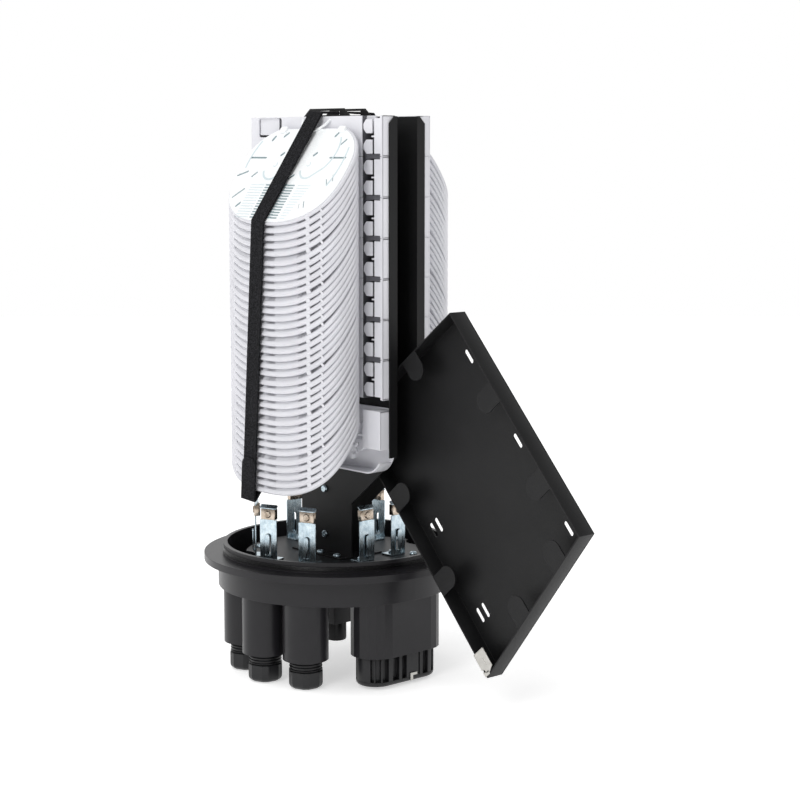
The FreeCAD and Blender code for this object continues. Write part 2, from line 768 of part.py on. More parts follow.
def frame_profile():
    """The folded sheet frame: two panels joined by a web, with lips, lugs and feet."""
    body = new_body("frame_profile")
    near = "hollow / 2"
    pad(body, draw_outline(new_sketch(body, "XZ_Plane", near), panel_corners()), "sheet", "front panel")
    back = draw_outline(new_sketch(body, "XZ_Plane", f"-{near} - sheet"), panel_corners())
    pad(body, back, "sheet", "rear panel")
    web = new_sketch(body, "YZ_Plane", PANEL_LEFT)
    draw_outline(web, box_corners(f"-{near} - sheet", f"{near} + sheet", "panel_bottom", "panel_top"))
    pad(body, web, "sheet", "web")
    for side in ("-", ""):
        lip = new_sketch(body, "YZ_Plane", f"{PANEL_RIGHT} - sheet")
        inner, outer = f"{side}hollow / 2", f"{side}(hollow / 2 + sheet + lip_wide)"
        chamfered = f"{side}(hollow / 2 + sheet + lip_wide - lip_chamfer)"
        draw_outline(lip, [
            (inner, "panel_bottom"),
            (outer, "panel_bottom"),
            (outer, "panel_top - lip_chamfer"),
            (chamfered, "panel_top"),
            (inner, "panel_top"),
        ])
        pad(body, lip, "sheet", "lip")
        foot = new_sketch(body, "XY_Plane", "plate_top")
        draw_outline(foot, box_corners(
            "neck_centre - neck_half", "neck_centre + neck_half", inner, f"{side}(hollow / 2 + sheet + foot_deep)"))
        pad(body, foot, "sheet", "foot")
    cuts = new_sketch(body, "XZ_Plane", f"-{near} - sheet - cut_over")
    low = "panel_top + lug_slot_up"
    draw_outline(cuts, box_corners(
        "lug_slot_centre - lug_slot_wide / 2", "lug_slot_centre + lug_slot_wide / 2", low, f"{low} + lug_slot_tall"))
    draw_circle(cuts, "pivot_x", "pivot_z", "pivot_radius + fit_gap")
    for height in ("neck_screw_low", "neck_screw_high"):
        draw_polygon(cuts, "0", height, "screw_shank + fit_gap")
    pocket(body, cuts, "hollow + 2 * (sheet + cut_over)", "slots and holes", backwards=True)
    holes = new_sketch(body, "XY_Plane", "plate_top")
    for step in (-1, 0, 1):
        for side in ("-", ""):
            depth = f"{side}(hollow / 2 + sheet + foot_hole_out)"
            draw_polygon(holes, f"neck_centre + {step} * foot_screw_step", depth, "screw_shank + fit_gap")
    pocket(body, holes, "sheet", "foot holes", backwards=True)
    return body


def frame_screws():
    """The screws in the frame's neck and feet."""
    screws = []
    for side, tip in (("-", 90), ("", -90)):
        for height in ("neck_screw_low", "neck_screw_high"):
            screw = pan_screw("neck_screw", "sheet")
            depth = f"{side}(hollow / 2 + sheet)"
            screw.Placement = FreeCAD.Placement(V(0, number(depth), number(height)), FreeCAD.Rotation(V(1, 0, 0), tip))
            screw.setExpression("Placement.Base.y", formula(depth))
            screw.setExpression("Placement.Base.z", formula(height))
            screws.append(screw)
        for step in (-1, 0, 1):
            depth = f"{side}(hollow / 2 + sheet + foot_hole_out)"
            x = f"neck_centre + {step} * foot_screw_step"
            screws.append(stand(pan_screw("foot_screw", "sheet"), x, depth, "plate_top + sheet"))
    return group("frame_screws", screws)


def groove_plate(side, place):
    """One white moulded module that five trays hang on."""
    body = new_body(f"{side}_groove_plate_{place + 1}")
    face = "plate_deep"
    tall = "module_pitch - module_gap"
    left, right = "-(panel_wide / 2 - sheet - fit_gap)", "panel_wide / 2 - sheet - fit_gap"
    outline = draw_outline(new_sketch(body, "XZ_Plane"), box_corners(left, right, "0", tall))
    pad(body, outline, face, "block")
    shell = "module_shell"
    hollow = draw_outline(new_sketch(body, "XZ_Plane", "-cut_over"), box_corners(
        f"{left} + {shell}", f"recess_left - {shell}", shell, f"{tall} - {shell}"))
    pocket(body, hollow, f"{face} - {shell} + cut_over", "open back", backwards=True)
    recess = draw_outline(new_sketch(body, "XZ_Plane", f"{face} - recess_deep"), box_corners(
        "recess_left", "recess_right", "rib_tall / 2", f"{tall} - rib_tall / 2"))
    pocket(body, recess, "recess_deep + cut_over", "side recess", backwards=True)
    for step in ("0", "tab_pitch"):
        low = f"tab_low - tab_tall / 2 + {step}"
        high = f"tab_low + tab_tall / 2 + {step}"
        tab = draw_outline(new_sketch(body, "XZ_Plane", f"{face} - recess_deep"), [
            ("recess_left", f"{low} + tab_cut"),
            ("recess_left + tab_cut", low),
            ("recess_left + tab_wide", low),
            ("recess_left + tab_wide", high),
            ("recess_left + tab_cut", high),
            ("recess_left", f"{high} - tab_cut"),
        ])
        pad(body, tab, "recess_deep - tab_sunk", "tab")
    if place == 0:
        window = draw_outline(new_sketch(body, "XZ_Plane", f"{face} - recess_deep"), box_corners(
            "-window_left", "-window_left + window_wide", f"{tall} - window_tall", f"{tall} + cut_over"))
        pocket(body, window, "recess_deep + cut_over", "window", backwards=True)
    drop = f"{MODULE_TOP} - {place + 1} * module_pitch"
    if side == "front":
        return stand(body, "panel_centre", f"-{PANEL_FACE}", drop)
    return stand(body, "panel_centre", PANEL_FACE, drop, "180")


def tray_corners(inset="0"):
    """The egg-shaped outline of a splice tray, cut off straight at its hinge edge."""
    hinge = "-(tray_thick * sin(tray_tilt) + tray_gap) / cos(tray_tilt)"
    half, crown = f"(tray_wide / 2 - {inset})", "tray_crown"
    rise = f"({crown} + {hinge})"
    side = [(f"{half} * (1 - ({rise} / {crown})^{TRAY_SQUARE})^(1 / {TRAY_SQUARE})", hinge)]
    for angle in TRAY_ANGLES:
        reach = crown if angle < 90 else f"(tray_long - {crown} - {inset})"
        across = abs(math.sin(math.radians(angle))) ** (2 / TRAY_SQUARE)
        along = abs(math.cos(math.radians(angle))) ** (2 / TRAY_SQUARE)
        sign = "+" if angle < 90 else "-"
        side.append((f"{half} * {across:.4f}", f"-{crown} {sign} {reach} * {along:.4f}"))
    return side + [(f"-({x})", y) for x, y in reversed(side)]


def tilted_sketch(body, lift):
    """Put a sketch on the trays' sloping plane, lifted along its normal."""
    sketch = new_sketch(body, "XY_Plane")
    tilt = FreeCAD.Rotation(V(1, 0, 0), number("tray_tilt"))
    sketch.AttachmentOffset = FreeCAD.Placement(tilt.multVec(V(0, 0, number(lift))), tilt)
    sketch.setExpression("AttachmentOffset.Base.x", None)
    sketch.setExpression("AttachmentOffset.Base.y", formula(f"-({lift}) * sin(tray_tilt)"))
    sketch.setExpression("AttachmentOffset.Base.z", formula(f"({lift}) * cos(tray_tilt)"))
    sketch.setExpression("AttachmentOffset.Rotation.Angle", formula("tray_tilt"))
    return sketch


def place_trays(body, side, drop):
    """Hang a set of trays on the face of its groove plates."""
    height = f"{MODULE_TOP} - tray_drop - {drop}"
    if side == "front":
        return stand(body, "panel_centre + tray_shift", f"-{PLATE_FACE}", height)
    return stand(body, "panel_centre - tray_shift", PLATE_FACE, height, "180")


def tray_set(side, place):
    """The five splice trays of one module."""
    body = new_body(f"{side}_trays_{place + 1}")
    tray = pad(body, draw_outline(tilted_sketch(body, "-tray_thick"), tray_corners()), "tray_thick", "tray")
    pitch = repeat(body, [tray], "Z_Axis", "(trays_per_module - 1) * tray_pitch", "trays_per_module")
    pitch.Reversed = True
    doc.recompute()
    return place_trays(body, side, f"{place} * module_pitch")


def tray_cover(side):
    """The cover on the uppermost tray of a stack."""
    body = new_body(f"{side}_tray_cover")
    pad(body, draw_outline(tilted_sketch(body, "0"), tray_corners("cover_inset")), "cover_thick", "cover")
    return place_trays(body, side, "0")


def organizer_corners(left, right, low, high):
    """List the corners of an outline whose two lower corners are rounded off in three facets."""
    middle = "organizer_round * (1 - cos(45))"
    return [
        (left, f"{low} + organizer_round"),
        (f"{left} + {middle}", f"{low} + {middle}"),
        (f"{left} + organizer_round", low),
        (f"{right} - organizer_round", low),
        (f"{right} - {middle}", f"{low} + {middle}"),
        (right, f"{low} + organizer_round"),
        (right, high),
        (left, high),
    ]


def organizer(side):
    """The white fibre guide below the groove plates: a tray with a round corner and a box end."""
    body = new_body(f"{side}_organizer")
    right = "panel_wide / 2 - sheet - fit_gap"
    wall = "organizer_wall"
    block = organizer_corners("-organizer_left", right, ORGANIZER_BOTTOM, ORGANIZER_TOP)
    pad(body, draw_outline(new_sketch(body, "XZ_Plane"), block), "organizer_deep", "block")
    low, high = f"{ORGANIZER_BOTTOM} + {wall}", f"{ORGANIZER_TOP} + cut_over"
    inner = organizer_corners(f"-organizer_left + {wall}", f"{right} - organizer_box", low, high)
    pocket(body, draw_outline(new_sketch(body, "XZ_Plane", wall), inner), "organizer_deep", "trough", backwards=True)
    if side == "front":
        return stand(body, "panel_centre", f"-{PANEL_FACE}")
    return stand(body, "panel_centre", PANEL_FACE, "0", "180")


def strap_path(offset, *rounding):
    """The strap's course as (Y, Z) corners, a distance outside the trays."""
    gap = f"(strap_gap + {offset})"
    face = f"(-{PLATE_FACE})"
    slot = f"(panel_top + lug_slot_up + (lug_slot_tall - strap_thick + strap_gap) / 2 + {offset})"
    above = f"({MODULE_TOP} - tray_drop + (cover_thick + {gap}) / cos(tray_tilt))"
    front = f"({face} - tray_long * cos(tray_tilt) - {gap})"
    below = f"({MODULE_TOP} - tray_drop - {STACK_STEP} - (tray_thick + {gap}) / cos(tray_tilt))"
    fall = f"({front} - {face}) * tan(tray_tilt)"
    return [
        ("strap_end - hollow / 2", slot),
        (f"{face} - {gap}", slot, *rounding),
        (front, f"{above} + {fall}", *rounding),
        (front, f"{below} + {fall}", *rounding),
        (f"{front} + strap_under * cos(tray_tilt)", f"{below} + {fall} + strap_under * sin(tray_tilt)"),
    ]


def strap(side):
    """The hook and loop strap: through the lug, over the top tray, down the stack and under it."""
    body = new_body(f"{side}_strap")
    sketch = new_sketch(body, "YZ_Plane", "-strap_wide / 2")
    draw_outline(sketch, strap_path("strap_thick", "strap_thick") + strap_path("0")[::-1])
    pad(body, sketch, "strap_wide", "band")
    lean = FreeCAD.Rotation(V(0, 1, 0), number("strap_lean"))
    x, z = "strap_centre - strap_pivot * sin(strap_lean)", "strap_pivot * (1 - cos(strap_lean))"
    place = V(number(x), 0, number(z))
    body.Placement = FreeCAD.Placement(place, lean)
    body.setExpression("Placement.Base.x", formula(x))
    body.setExpression("Placement.Base.z", formula(z))
    if side == "front":
        body.setExpression("Placement.Rotation.Angle", formula("strap_lean"))
    else:
        half_turn = FreeCAD.Rotation(V(0, 0, 1), 180)
        body.Placement = FreeCAD.Placement(place, half_turn * lean.inverted())
    return body


def basket_point(along, across):
    """A place in the basket, along its long wall and across from it, as X and Z."""
    x = f"basket_corner_x + ({along}) * cos(basket_lean) + ({across}) * sin(basket_lean)"
    z = f"basket_corner_z - ({along}) * sin(basket_lean) + ({across}) * cos(basket_lean)"
    return x, z


def near_wall(across):
    """How far along the basket its upper end wall lies."""
    return f"({BASKET_NEAR} * ({across}) / basket_wide)"


def far_wall(across):
    """How far along the basket its lower end wall lies."""
    return f"(basket_long - ({across}) * tan(basket_taper))"


def basket_outline(inset="0"):
    """The basket's four corners, drawn in by an inset."""
    low, high = inset, f"basket_wide - ({inset})"
    return [
        basket_point(f"{near_wall(low)} + ({inset})", low),
        basket_point(f"{far_wall(low)} - ({inset}) / cos(basket_taper)", low),
        basket_point(f"{far_wall(high)} - ({inset}) / cos(basket_taper)", high),
        basket_point(f"{near_wall(high)} + ({inset})", high),
    ]


def long_keeper(middle, wall, sign):
    """A keeper tab that reaches in from a long wall, its end's corners cut off."""
    left, right = f"{middle} - keeper_broad / 2", f"{middle} + keeper_broad / 2"
    near = f"{wall} {sign} (keeper_reach - keeper_cut)"
    tip = f"{wall} {sign} keeper_reach"
    return [
        basket_point(left, wall),
        basket_point(right, wall),
        basket_point(right, near),
        basket_point(f"{right} - keeper_cut", tip),
        basket_point(f"{left} + keeper_cut", tip),
        basket_point(left, near),
    ]


def end_keeper(middle, wall, sign):
    """A keeper tab that reaches in from an end wall, its end's corners cut off."""
    low, high = f"{middle} - keeper_broad / 2", f"{middle} + keeper_broad / 2"
    near = f"{wall(middle)} {sign} (keeper_reach - keeper_cut)"
    tip = f"{wall(middle)} {sign} keeper_reach"
    return [
        basket_point(wall(low), low),
        basket_point(wall(high), high),
        basket_point(near, high),
        basket_point(tip, f"{high} - keeper_cut"),
        basket_point(tip, f"{low} + keeper_cut"),
        basket_point(near, low),
    ]


def basket_keepers():
    """The keeper tabs of all four walls."""
    outlines = []
    for middle in ("keeper_first", "keeper_first + keeper_step"):
        outlines.append(long_keeper(middle, "0", "+"))
        outlines.append(long_keeper(middle, "basket_wide", "-"))
    for middle in ("end_keeper_low", "end_keeper_high"):
        outlines.append(end_keeper(middle, far_wall, "-"))
    outlines.append(end_keeper("(end_keeper_low + end_keeper_high) / 2", near_wall, "+"))
    return outlines


def tie_slots():
    """The slots in the basket's floor for cable ties: single ones above, pairs below."""
    half = "tie_slot_wide / 2"
    rows = ["basket_wide - tie_inset", "tie_pair_inset", "tie_pair_inset + tie_pair_gap"]
    outlines = []
    for row in rows:
        for step in (0, 1, 2):
            left = f"tie_first + {step} * tie_step - tie_slot_long / 2"
            right = f"tie_first + {step} * tie_step + tie_slot_long / 2"
            corners = slot_corners(left, right, f"{row} - {half}", f"{row} + {half}", "tie_slot_wide / 4")
            outlines.append([basket_point(x, y) for x, y in corners])
    return outlines


def basket():
    """The folded loose-tube basket: a floor, four walls, keeper tabs and a pivot sleeve."""
    body = new_body("basket")
    rear = "basket_deep / 2"
    pad(body, draw_outline(new_sketch(body, "XZ_Plane", f"-{rear}"), basket_outline()), "basket_deep", "tray")
    inside = draw_outline(new_sketch(body, "XZ_Plane", f"-{rear} + basket_sheet"), basket_outline("basket_sheet"))
    pocket(body, inside, "basket_deep", "inside", backwards=True)
    keepers = new_sketch(body, "XZ_Plane", f"{rear} - basket_sheet")
    for outline in basket_keepers():
        draw_outline(keepers, outline)
    pad(body, keepers, "basket_sheet", "keepers")
    slots = new_sketch(body, "XZ_Plane", f"-{rear}")
    for outline in tie_slots():
        draw_outline(slots, outline)
    pocket(body, slots, "basket_sheet", "tie slots", backwards=True)
    reach = "hollow / 2 - fit_gap"
    sleeve = draw_polygon(new_sketch(body, "XZ_Plane", f"-({reach})"), "pivot_x", "pivot_z", "sleeve_radius", 16)
    pad(body, sleeve, f"2 * ({reach})", "sleeve")
    bore = draw_circle(new_sketch(body, "XZ_Plane", "-hollow / 2"), "pivot_x", "pivot_z", "pivot_radius + pivot_gap")
    pocket(body, bore, "hollow", "bore", backwards=True)
    return body


def basket_pivot_pin():
    """The pin through both panels that the basket swings on."""
    body = new_body("basket_pivot_pin")
    reach = f"{PANEL_FACE} - fit_gap / 3"
    sketch = draw_circle(new_sketch(body, "XZ_Plane", f"-({reach})"), "pivot_x", "pivot_z", "pivot_radius")
    pad(body, sketch, f"2 * ({reach})", "pin")
    return body


def basket_clip():
    """The spring clip over the long wall's edge, at the basket's lowest corner."""
    body = new_body("basket_clip")
    right = "basket_long - latch_inset"
    left = f"{right} - latch_long"
    edge = "basket_deep / 2"
    leaf = new_sketch(body, "XZ_Plane", edge)
    draw_outline(leaf, [
        basket_point(left, "-latch_thick"),
        basket_point(right, "-latch_thick"),
        basket_point(right, "latch_wide"),
        basket_point(left, "latch_wide"),
    ])
    pad(body, leaf, "latch_thick", "leaf")
    hook = new_sketch(body, "XZ_Plane", f"{edge} - latch_deep")
    draw_outline(hook, [
        basket_point(left, "-latch_thick"),
        basket_point(right, "-latch_thick"),
        basket_point(right, "0"),
        basket_point(left, "0"),
    ])
    pad(body, hook, "latch_deep", "hook")
    return body


def write_parts(parts):
    """Check every object and write each sub-part's STEP file."""
    os.makedirs("parts", exist_ok=True)
    doc.recompute()
    for item in doc.Objects:
        if "Invalid" in item.State or "Error" in item.State:
            raise RuntimeError(f"{item.Label} failed")
    for part in parts:
        if part.Shape.isNull() or not part.Shape.isValid() or not part.Shape.Solids:
            raise RuntimeError(f"{part.Label} has no valid solid")
        part.Shape.exportStep(os.path.join("parts", f"{part.Label}.step"))


def build():
    """Build every sub-part in the order of assembly."""
    parts = [base_body(), flange_seal(), base_plate(), base_plate_screws()]
    parts += [port_gland(name, bearing) for name, bearing in PORT_BEARINGS.items()]
    parts.append(group("gland_nuts", [gland_nut(bearing) for bearing in PORT_BEARINGS.values()]))
    parts += [port_plugs(), oval_port_seal(), oval_seal_clip(), test_valve()]
    parts += [cable_bracket(name, *spot) for name, spot in BRACKETS.items()]
    parts += [bracket_screws(), clamp_bands(), clamp_screws(), frame_profile(), frame_screws()]
    places = range(int(number("modules")))
    parts += [groove_plate("front", place) for place in places]
    parts.append(group("rear_groove_plates", [groove_plate("rear", place) for place in places]))
    for side in ("front", "rear"):
        parts += [tray_set(side, place) for place in places]
        parts += [tray_cover(side), organizer(side), strap(side)]
    parts += [basket(), basket_pivot_pin(), basket_clip()]
    write_parts(parts)


build()
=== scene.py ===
"""Dome splice closure: looks, detailed pieces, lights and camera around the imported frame."""

import json
import logging
import math
from dataclasses import dataclass, field
from enum import Enum

import bpy
import numpy as np
from bpy.types import ID, Material, Node, NodeSocket, NodeTree, Object
from mathutils import Matrix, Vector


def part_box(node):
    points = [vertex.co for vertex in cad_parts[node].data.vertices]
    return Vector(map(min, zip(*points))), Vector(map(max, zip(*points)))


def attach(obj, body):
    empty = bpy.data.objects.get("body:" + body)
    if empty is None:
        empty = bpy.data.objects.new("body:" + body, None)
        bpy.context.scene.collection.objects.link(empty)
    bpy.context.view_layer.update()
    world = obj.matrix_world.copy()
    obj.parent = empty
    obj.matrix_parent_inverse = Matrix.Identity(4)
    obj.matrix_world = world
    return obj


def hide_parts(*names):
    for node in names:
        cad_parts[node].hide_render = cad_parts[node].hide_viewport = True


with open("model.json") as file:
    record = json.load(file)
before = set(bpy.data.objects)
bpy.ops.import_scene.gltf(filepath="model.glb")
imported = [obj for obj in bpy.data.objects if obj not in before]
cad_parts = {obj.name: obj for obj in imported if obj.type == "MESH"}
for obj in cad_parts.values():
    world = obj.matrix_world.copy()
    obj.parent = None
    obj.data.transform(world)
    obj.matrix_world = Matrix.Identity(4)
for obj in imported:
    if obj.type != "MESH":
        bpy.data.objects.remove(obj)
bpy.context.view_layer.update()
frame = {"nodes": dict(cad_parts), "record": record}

LOG = logging.getLogger("scene")
MM = 0.001
WHITE = (1.0, 1.0, 1.0, 1.0)

# Texture values at which a look has its first and its second tone
FADE_LOW, FADE_HIGH = 0.3, 0.7
BEVEL_SAMPLES = 4

# X of the groove plates' middle, about which the rear side is turned
PANEL_CENTRE = 7.0


# Colour and shader helpers

def srgb(code: str) -> tuple[float, float, float, float]:
    """Turn an sRGB hex colour into linear RGBA.

    Args:
        code: Colour such as "#1e1e20".

    Returns:
        Linear red, green, blue and an alpha of 1.
    """
    parts = [int(code[i:i + 2], 16) / 255 for i in (1, 3, 5)]
    linear = [c / 12.92 if c <= 0.04045 else ((c + 0.055) / 1.055) ** 2.4 for c in parts]
    return (*linear, 1.0)


def add_node(tree: NodeTree, kind: str, links: dict | None = None, **settings) -> Node:
    """Add one shader node.

    Args:
        tree: The material's node tree.
        kind: Node type without its "ShaderNode" prefix.
        links: Input name or index to the output socket that feeds it.
        settings: Attributes of the node, or values of its inputs where it has no such attribute.

    Returns:
        The new node.
    """
    node = tree.nodes.new("ShaderNode" + kind)
    for name, value in settings.items():
        if hasattr(node, name):
            setattr(node, name, value)
        else:
            node.inputs[name.replace("_", " ")].default_value = value
    for socket, source in (links or {}).items():
        tree.links.new(source, node.inputs[socket])
    return node


def new_tree(name: str) -> tuple[Material, NodeTree, NodeSocket]:
    """Start a material.

    Args:
        name: The material's name.

    Returns:
        The material, its empty node tree and the socket of its object coordinates.
    """
    material = bpy.data.materials.new(name)
    material.use_nodes = True
    tree = material.node_tree
    tree.nodes.clear()
    return material, tree, add_node(tree, "TexCoord").outputs["Object"]


def noise(tree: NodeTree, place: NodeSocket, grain: float, detail: float = 4.0) -> NodeSocket:
    """Add a noise texture whose features measure about `grain` metres.

    Args:
        tree: The node tree.
        place: The coordinates to read.
        grain: Size of one feature in metres.
        detail: Octaves of the noise.

    Returns:
        The socket of the noise's value.
    """
    texture = add_node(tree, "TexNoise", {"Vector": place}, Scale=1.0 / grain, Detail=detail, Roughness=0.55)
    return texture.outputs["Fac"]


def spread(tree: NodeTree, source: NodeSocket, low: float, high: float) -> NodeSocket:
    """Map a texture value between FADE_LOW and FADE_HIGH to a range.

    Args:
        tree: The node tree.
        source: The value to map.
        low: The result at FADE_LOW and below.
        high: The result at FADE_HIGH and above.

    Returns:
        The mapped value's socket.
    """
    mapped = add_node(tree, "MapRange", {"Value": source},
                      From_Min=FADE_LOW, From_Max=FADE_HIGH, To_Min=low, To_Max=high)
    return mapped.outputs["Result"]


def tint(tree: NodeTree, source: NodeSocket, dark: str, light: str) -> NodeSocket:
    """Colour a surface between two tones by a texture value.

    Args:
        tree: The node tree.
        source: The value from 0 to 1.
        dark: Hex colour at FADE_LOW.
        light: Hex colour at FADE_HIGH.

    Returns:
        The colour's socket.
    """
    ramp = add_node(tree, "ValToRGB", {"Fac": source})
    for index, (position, code) in enumerate(((FADE_LOW, dark), (FADE_HIGH, light))):
        ramp.color_ramp.elements[index].position = position
        ramp.color_ramp.elements[index].color = srgb(code)
    return ramp.outputs["Color"]


def relief(tree: NodeTree, height: NodeSocket, edge: float, strength: float, depth: float) -> NodeSocket:
    """Give the normal of a surface with softened edges and a relief.

    Args:
        tree: The node tree.
        height: The relief's texture value.
        edge: Radius of the softened edges in metres.
        strength: Strength of the relief.
        depth: Depth of the relief in metres.

    Returns:
        The normal's socket.
    """
    corner = add_node(tree, "Bevel", samples=BEVEL_SAMPLES, Radius=edge)
    bump = add_node(tree, "Bump", {"Height": height, "Normal": corner.outputs["Normal"]},
                    Strength=strength, Distance=depth)
    return bump.outputs["Normal"]


def surface(tree: NodeTree, links: dict[str, NodeSocket], **settings) -> None:
    """Add a material's surface shader and its output.

    Args:
        tree: The node tree.
        links: Input name to the output socket that feeds it.
        settings: Plain values of the shader's other inputs, with "_" for a space.
    """
    shader = add_node(tree, "BsdfPrincipled", links, **settings)
    add_node(tree, "OutputMaterial", {"Surface": shader.outputs["BSDF"]})


@dataclass(frozen=True)
class Moulded:
    """A moulded or coated finish: a fine grain over soft shrink waves, with rounded edges.

    Attributes:
        name: The material's name.
        dark: Hex colour of the darker patches.
        light: Hex colour of the lighter patches.
        rough: Mean roughness.
        grain: Size of the surface grain in metres.
        bump: Depth of the grain in metres.
        edge: Radius of the softened edges in metres.
        coat: Weight of a clear skin.
        gleam: Strength of the surface's reflection.
        wave: Size of the shrink waves in metres.
        uneven: How far the roughness strays from its mean.
    """

    name: str
    dark: str
    light: str
    rough: float = 0.5
    grain: float = 0.0008
    bump: float = 0.00004
    edge: float = 0.0006
    coat: float = 0.0
    gleam: float = 0.5
    wave: float = 0.045
    uneven: float = 0.06

    def build(self) -> Material:
        """Make the material.

        Returns:
            The material.
        """
        material, tree, place = new_tree(self.name)
        fine = noise(tree, place, self.grain)
        broad = noise(tree, place, self.wave, 3.0)
        surface(tree, {
            "Base Color": tint(tree, broad, self.dark, self.light),
            "Roughness": spread(tree, fine, self.rough - self.uneven, self.rough + self.uneven),
            "Normal": relief(tree, fine, self.edge, 1.0, self.bump),
        }, Specular_IOR_Level=self.gleam, Coat_Weight=self.coat, Coat_Roughness=0.25)
        return material


@dataclass(frozen=True)
class Plated:
    """A plated or bright metal finish, drawn along Z, with patchy passivation.

    Attributes:
        name: The material's name.
        dark: Hex colour of the darker patches.
        light: Hex colour of the lighter patches.
        rough: Mean roughness.
        patch: Size of the colour patches in metres.
        edge: Radius of the softened edges in metres.
        streak: Width of the drawing streaks in metres.
        stretch: How much the streaks are drawn out along Z, as a factor on that coordinate.
        uneven: How far the roughness strays from its mean.
    """

    name: str
    dark: str
    light: str
    rough: float = 0.3
    patch: float = 0.006
    edge: float = 0.0004
    streak: float = 0.0006
    stretch: float = 0.06
    uneven: float = 0.08

    def build(self) -> Material:
        """Make the material.

        Returns:
            The material.
        """
        material, tree, place = new_tree(self.name)
        drawn = add_node(tree, "Mapping", {"Vector": place}, Scale=(1.0, 1.0, self.stretch))
        streaks = noise(tree, drawn.outputs["Vector"], self.streak)
        patches = noise(tree, place, self.patch, 3.0)
        surface(tree, {
            "Base Color": tint(tree, patches, self.dark, self.light),
            "Roughness": spread(tree, streaks, self.rough - self.uneven, self.rough + self.uneven),
            "Normal": relief(tree, streaks, self.edge, 0.5, 0.00002),
        }, Metallic=1.0)
        return material


@dataclass(frozen=True)
class HookAndLoop:
    """A woven strap with a brushed loop face.

    Attributes:
        name: The material's name.
        dark: Hex colour between the loops, darkened as painted shade.
        light: Hex colour of the loops' tips, lightened as a painted highlight.
        loop: Size of one loop in metres.
        pile: Height of the loops in metres.
    """

    name: str
    dark: str
    light: str
    loop: float = 0.0007
    pile: float = 0.0012

    def build(self) -> Material:
        """Make the material.

        Returns:
            The material.
        """
        material, tree, place = new_tree(self.name)
        loops = add_node(tree, "TexVoronoi", {"Vector": place}, Scale=1.0 / self.loop).outputs["Distance"]
        fuzz = noise(tree, place, self.loop * 3.0)
        height = add_node(tree, "Math", {0: loops, 1: fuzz}, operation="MULTIPLY")
        bump = add_node(tree, "Bump", {"Height": height.outputs["Value"]}, Strength=1.0, Distance=self.pile)
        # The colour follows the loops' height: painted shade between the loops and a painted highlight on
        # their tips.
        surface(tree, {
            "Base Color": tint(tree, loops, self.dark, self.light),
            "Normal": bump.outputs["Normal"],
        }, Roughness=0.95, Specular_IOR_Level=0.08, Sheen_Weight=0.03, Sheen_Roughness=0.5)
        return material


def placed(name: str, data: ID) -> Object:
    """Make an object and link it to the scene.

    Args:
        name: The object's name.
        data: Its mesh, light or camera.

    Returns:
        The object.
    """
    item = bpy.data.objects.new(name, data)
    bpy.context.scene.collection.objects.link(item)
    return item


# Mesh building, in millimetres

def spot(x: float = 0.0, y: float = 0.0, z: float = 0.0, turn: float = 0.0, tilt: float = 0.0) -> np.ndarray:
    """Make a 4 x 4 placement.

    Args:
        x: Place along X in mm.
        y: Place along Y in mm.
        z: Place along Z in mm.
        turn: Degrees about Z, applied last.
        tilt: Degrees about the piece's own X, applied first.

    Returns:
        The placement.
    """
    lean = Matrix.Rotation(math.radians(tilt), 4, "X")
    return np.array(Matrix.Translation((x, y, z)) @ Matrix.Rotation(math.radians(turn), 4, "Z") @ lean)


def around(bearing: float, distance: float) -> tuple[float, float]:
    """Give the place at a bearing and a distance from the base's axis.

    Args:
        bearing: Degrees from -Y towards +X.
        distance: The distance in mm.

    Returns:
        X and Y.
    """
    angle = math.radians(bearing)
    return distance * math.sin(angle), -distance * math.cos(angle)


def moved(points: np.ndarray, place: np.ndarray) -> np.ndarray:
    """Move points by a placement.

    Args:
        points: Points of shape (..., 3).
        place: A 4 x 4 placement.

    Returns:
        The moved points.
    """
    return points @ place[:3, :3].T + place[:3, 3]


def arc(x: float, y: float, radius: float, start: float, end: float, steps: int = 12) -> np.ndarray:
    """List the points of an arc.

    Args:
        x: Centre along the first axis.
        y: Centre along the second axis.
        radius: Radius.
        start: First angle in degrees.
        end: Last angle in degrees.
        steps: Number of points.

    Returns:
        Points of shape (steps, 2).
    """
    angles = np.radians(np.linspace(start, end, steps))
    return np.stack([x + radius * np.cos(angles), y + radius * np.sin(angles)], -1)


def rounded(left: float, right: float, low: float, high: float, radius: float, steps: int = 6) -> np.ndarray:
    """List the points of a rounded rectangle.

    Args:
        left: Lowest first coordinate.
        right: Highest first coordinate.
        low: Lowest second coordinate.
        high: Highest second coordinate.
        radius: Corner radius.
        steps: Points per corner.

    Returns:
        Points of shape (4 * steps, 2), anticlockwise.
    """
    return np.concatenate([
        arc(right - radius, high - radius, radius, 0, 90, steps),
        arc(left + radius, high - radius, radius, 90, 180, steps),
        arc(left + radius, low + radius, radius, 180, 270, steps),
        arc(right - radius, low + radius, radius, 270, 360, steps),
    ])


def strip(course: np.ndarray, width: float) -> np.ndarray:
    """Give the outline of a band of constant width about an open course.

    Args:
        course: Points of shape (n, 2).
        width: The band's width.

    Returns:
        The closed outline.
    """
    along = np.gradient(course, axis=0)
    along /= np.linalg.norm(along, axis=1, keepdims=True)
    side = np.stack([-along[:, 1], along[:, 0]], -1) * width / 2
    return np.concatenate([course + side, (course - side)[::-1]])


def resampled(outline: np.ndarray, count: int) -> np.ndarray:
    """Space the points of a closed outline evenly.

    Args:
        outline: Points of shape (n, 2).
        count: How many points to return.

    Returns:
        Points of shape (count, 2).
    """
    closed = np.concatenate([outline, outline[:1]])
    way = np.concatenate([[0.0], np.cumsum(np.linalg.norm(np.diff(closed, axis=0), axis=1))])
    steps = np.linspace(0.0, way[-1], count, endpoint=False)
    return np.stack([np.interp(steps, way, closed[:, axis]) for axis in (0, 1)], -1)


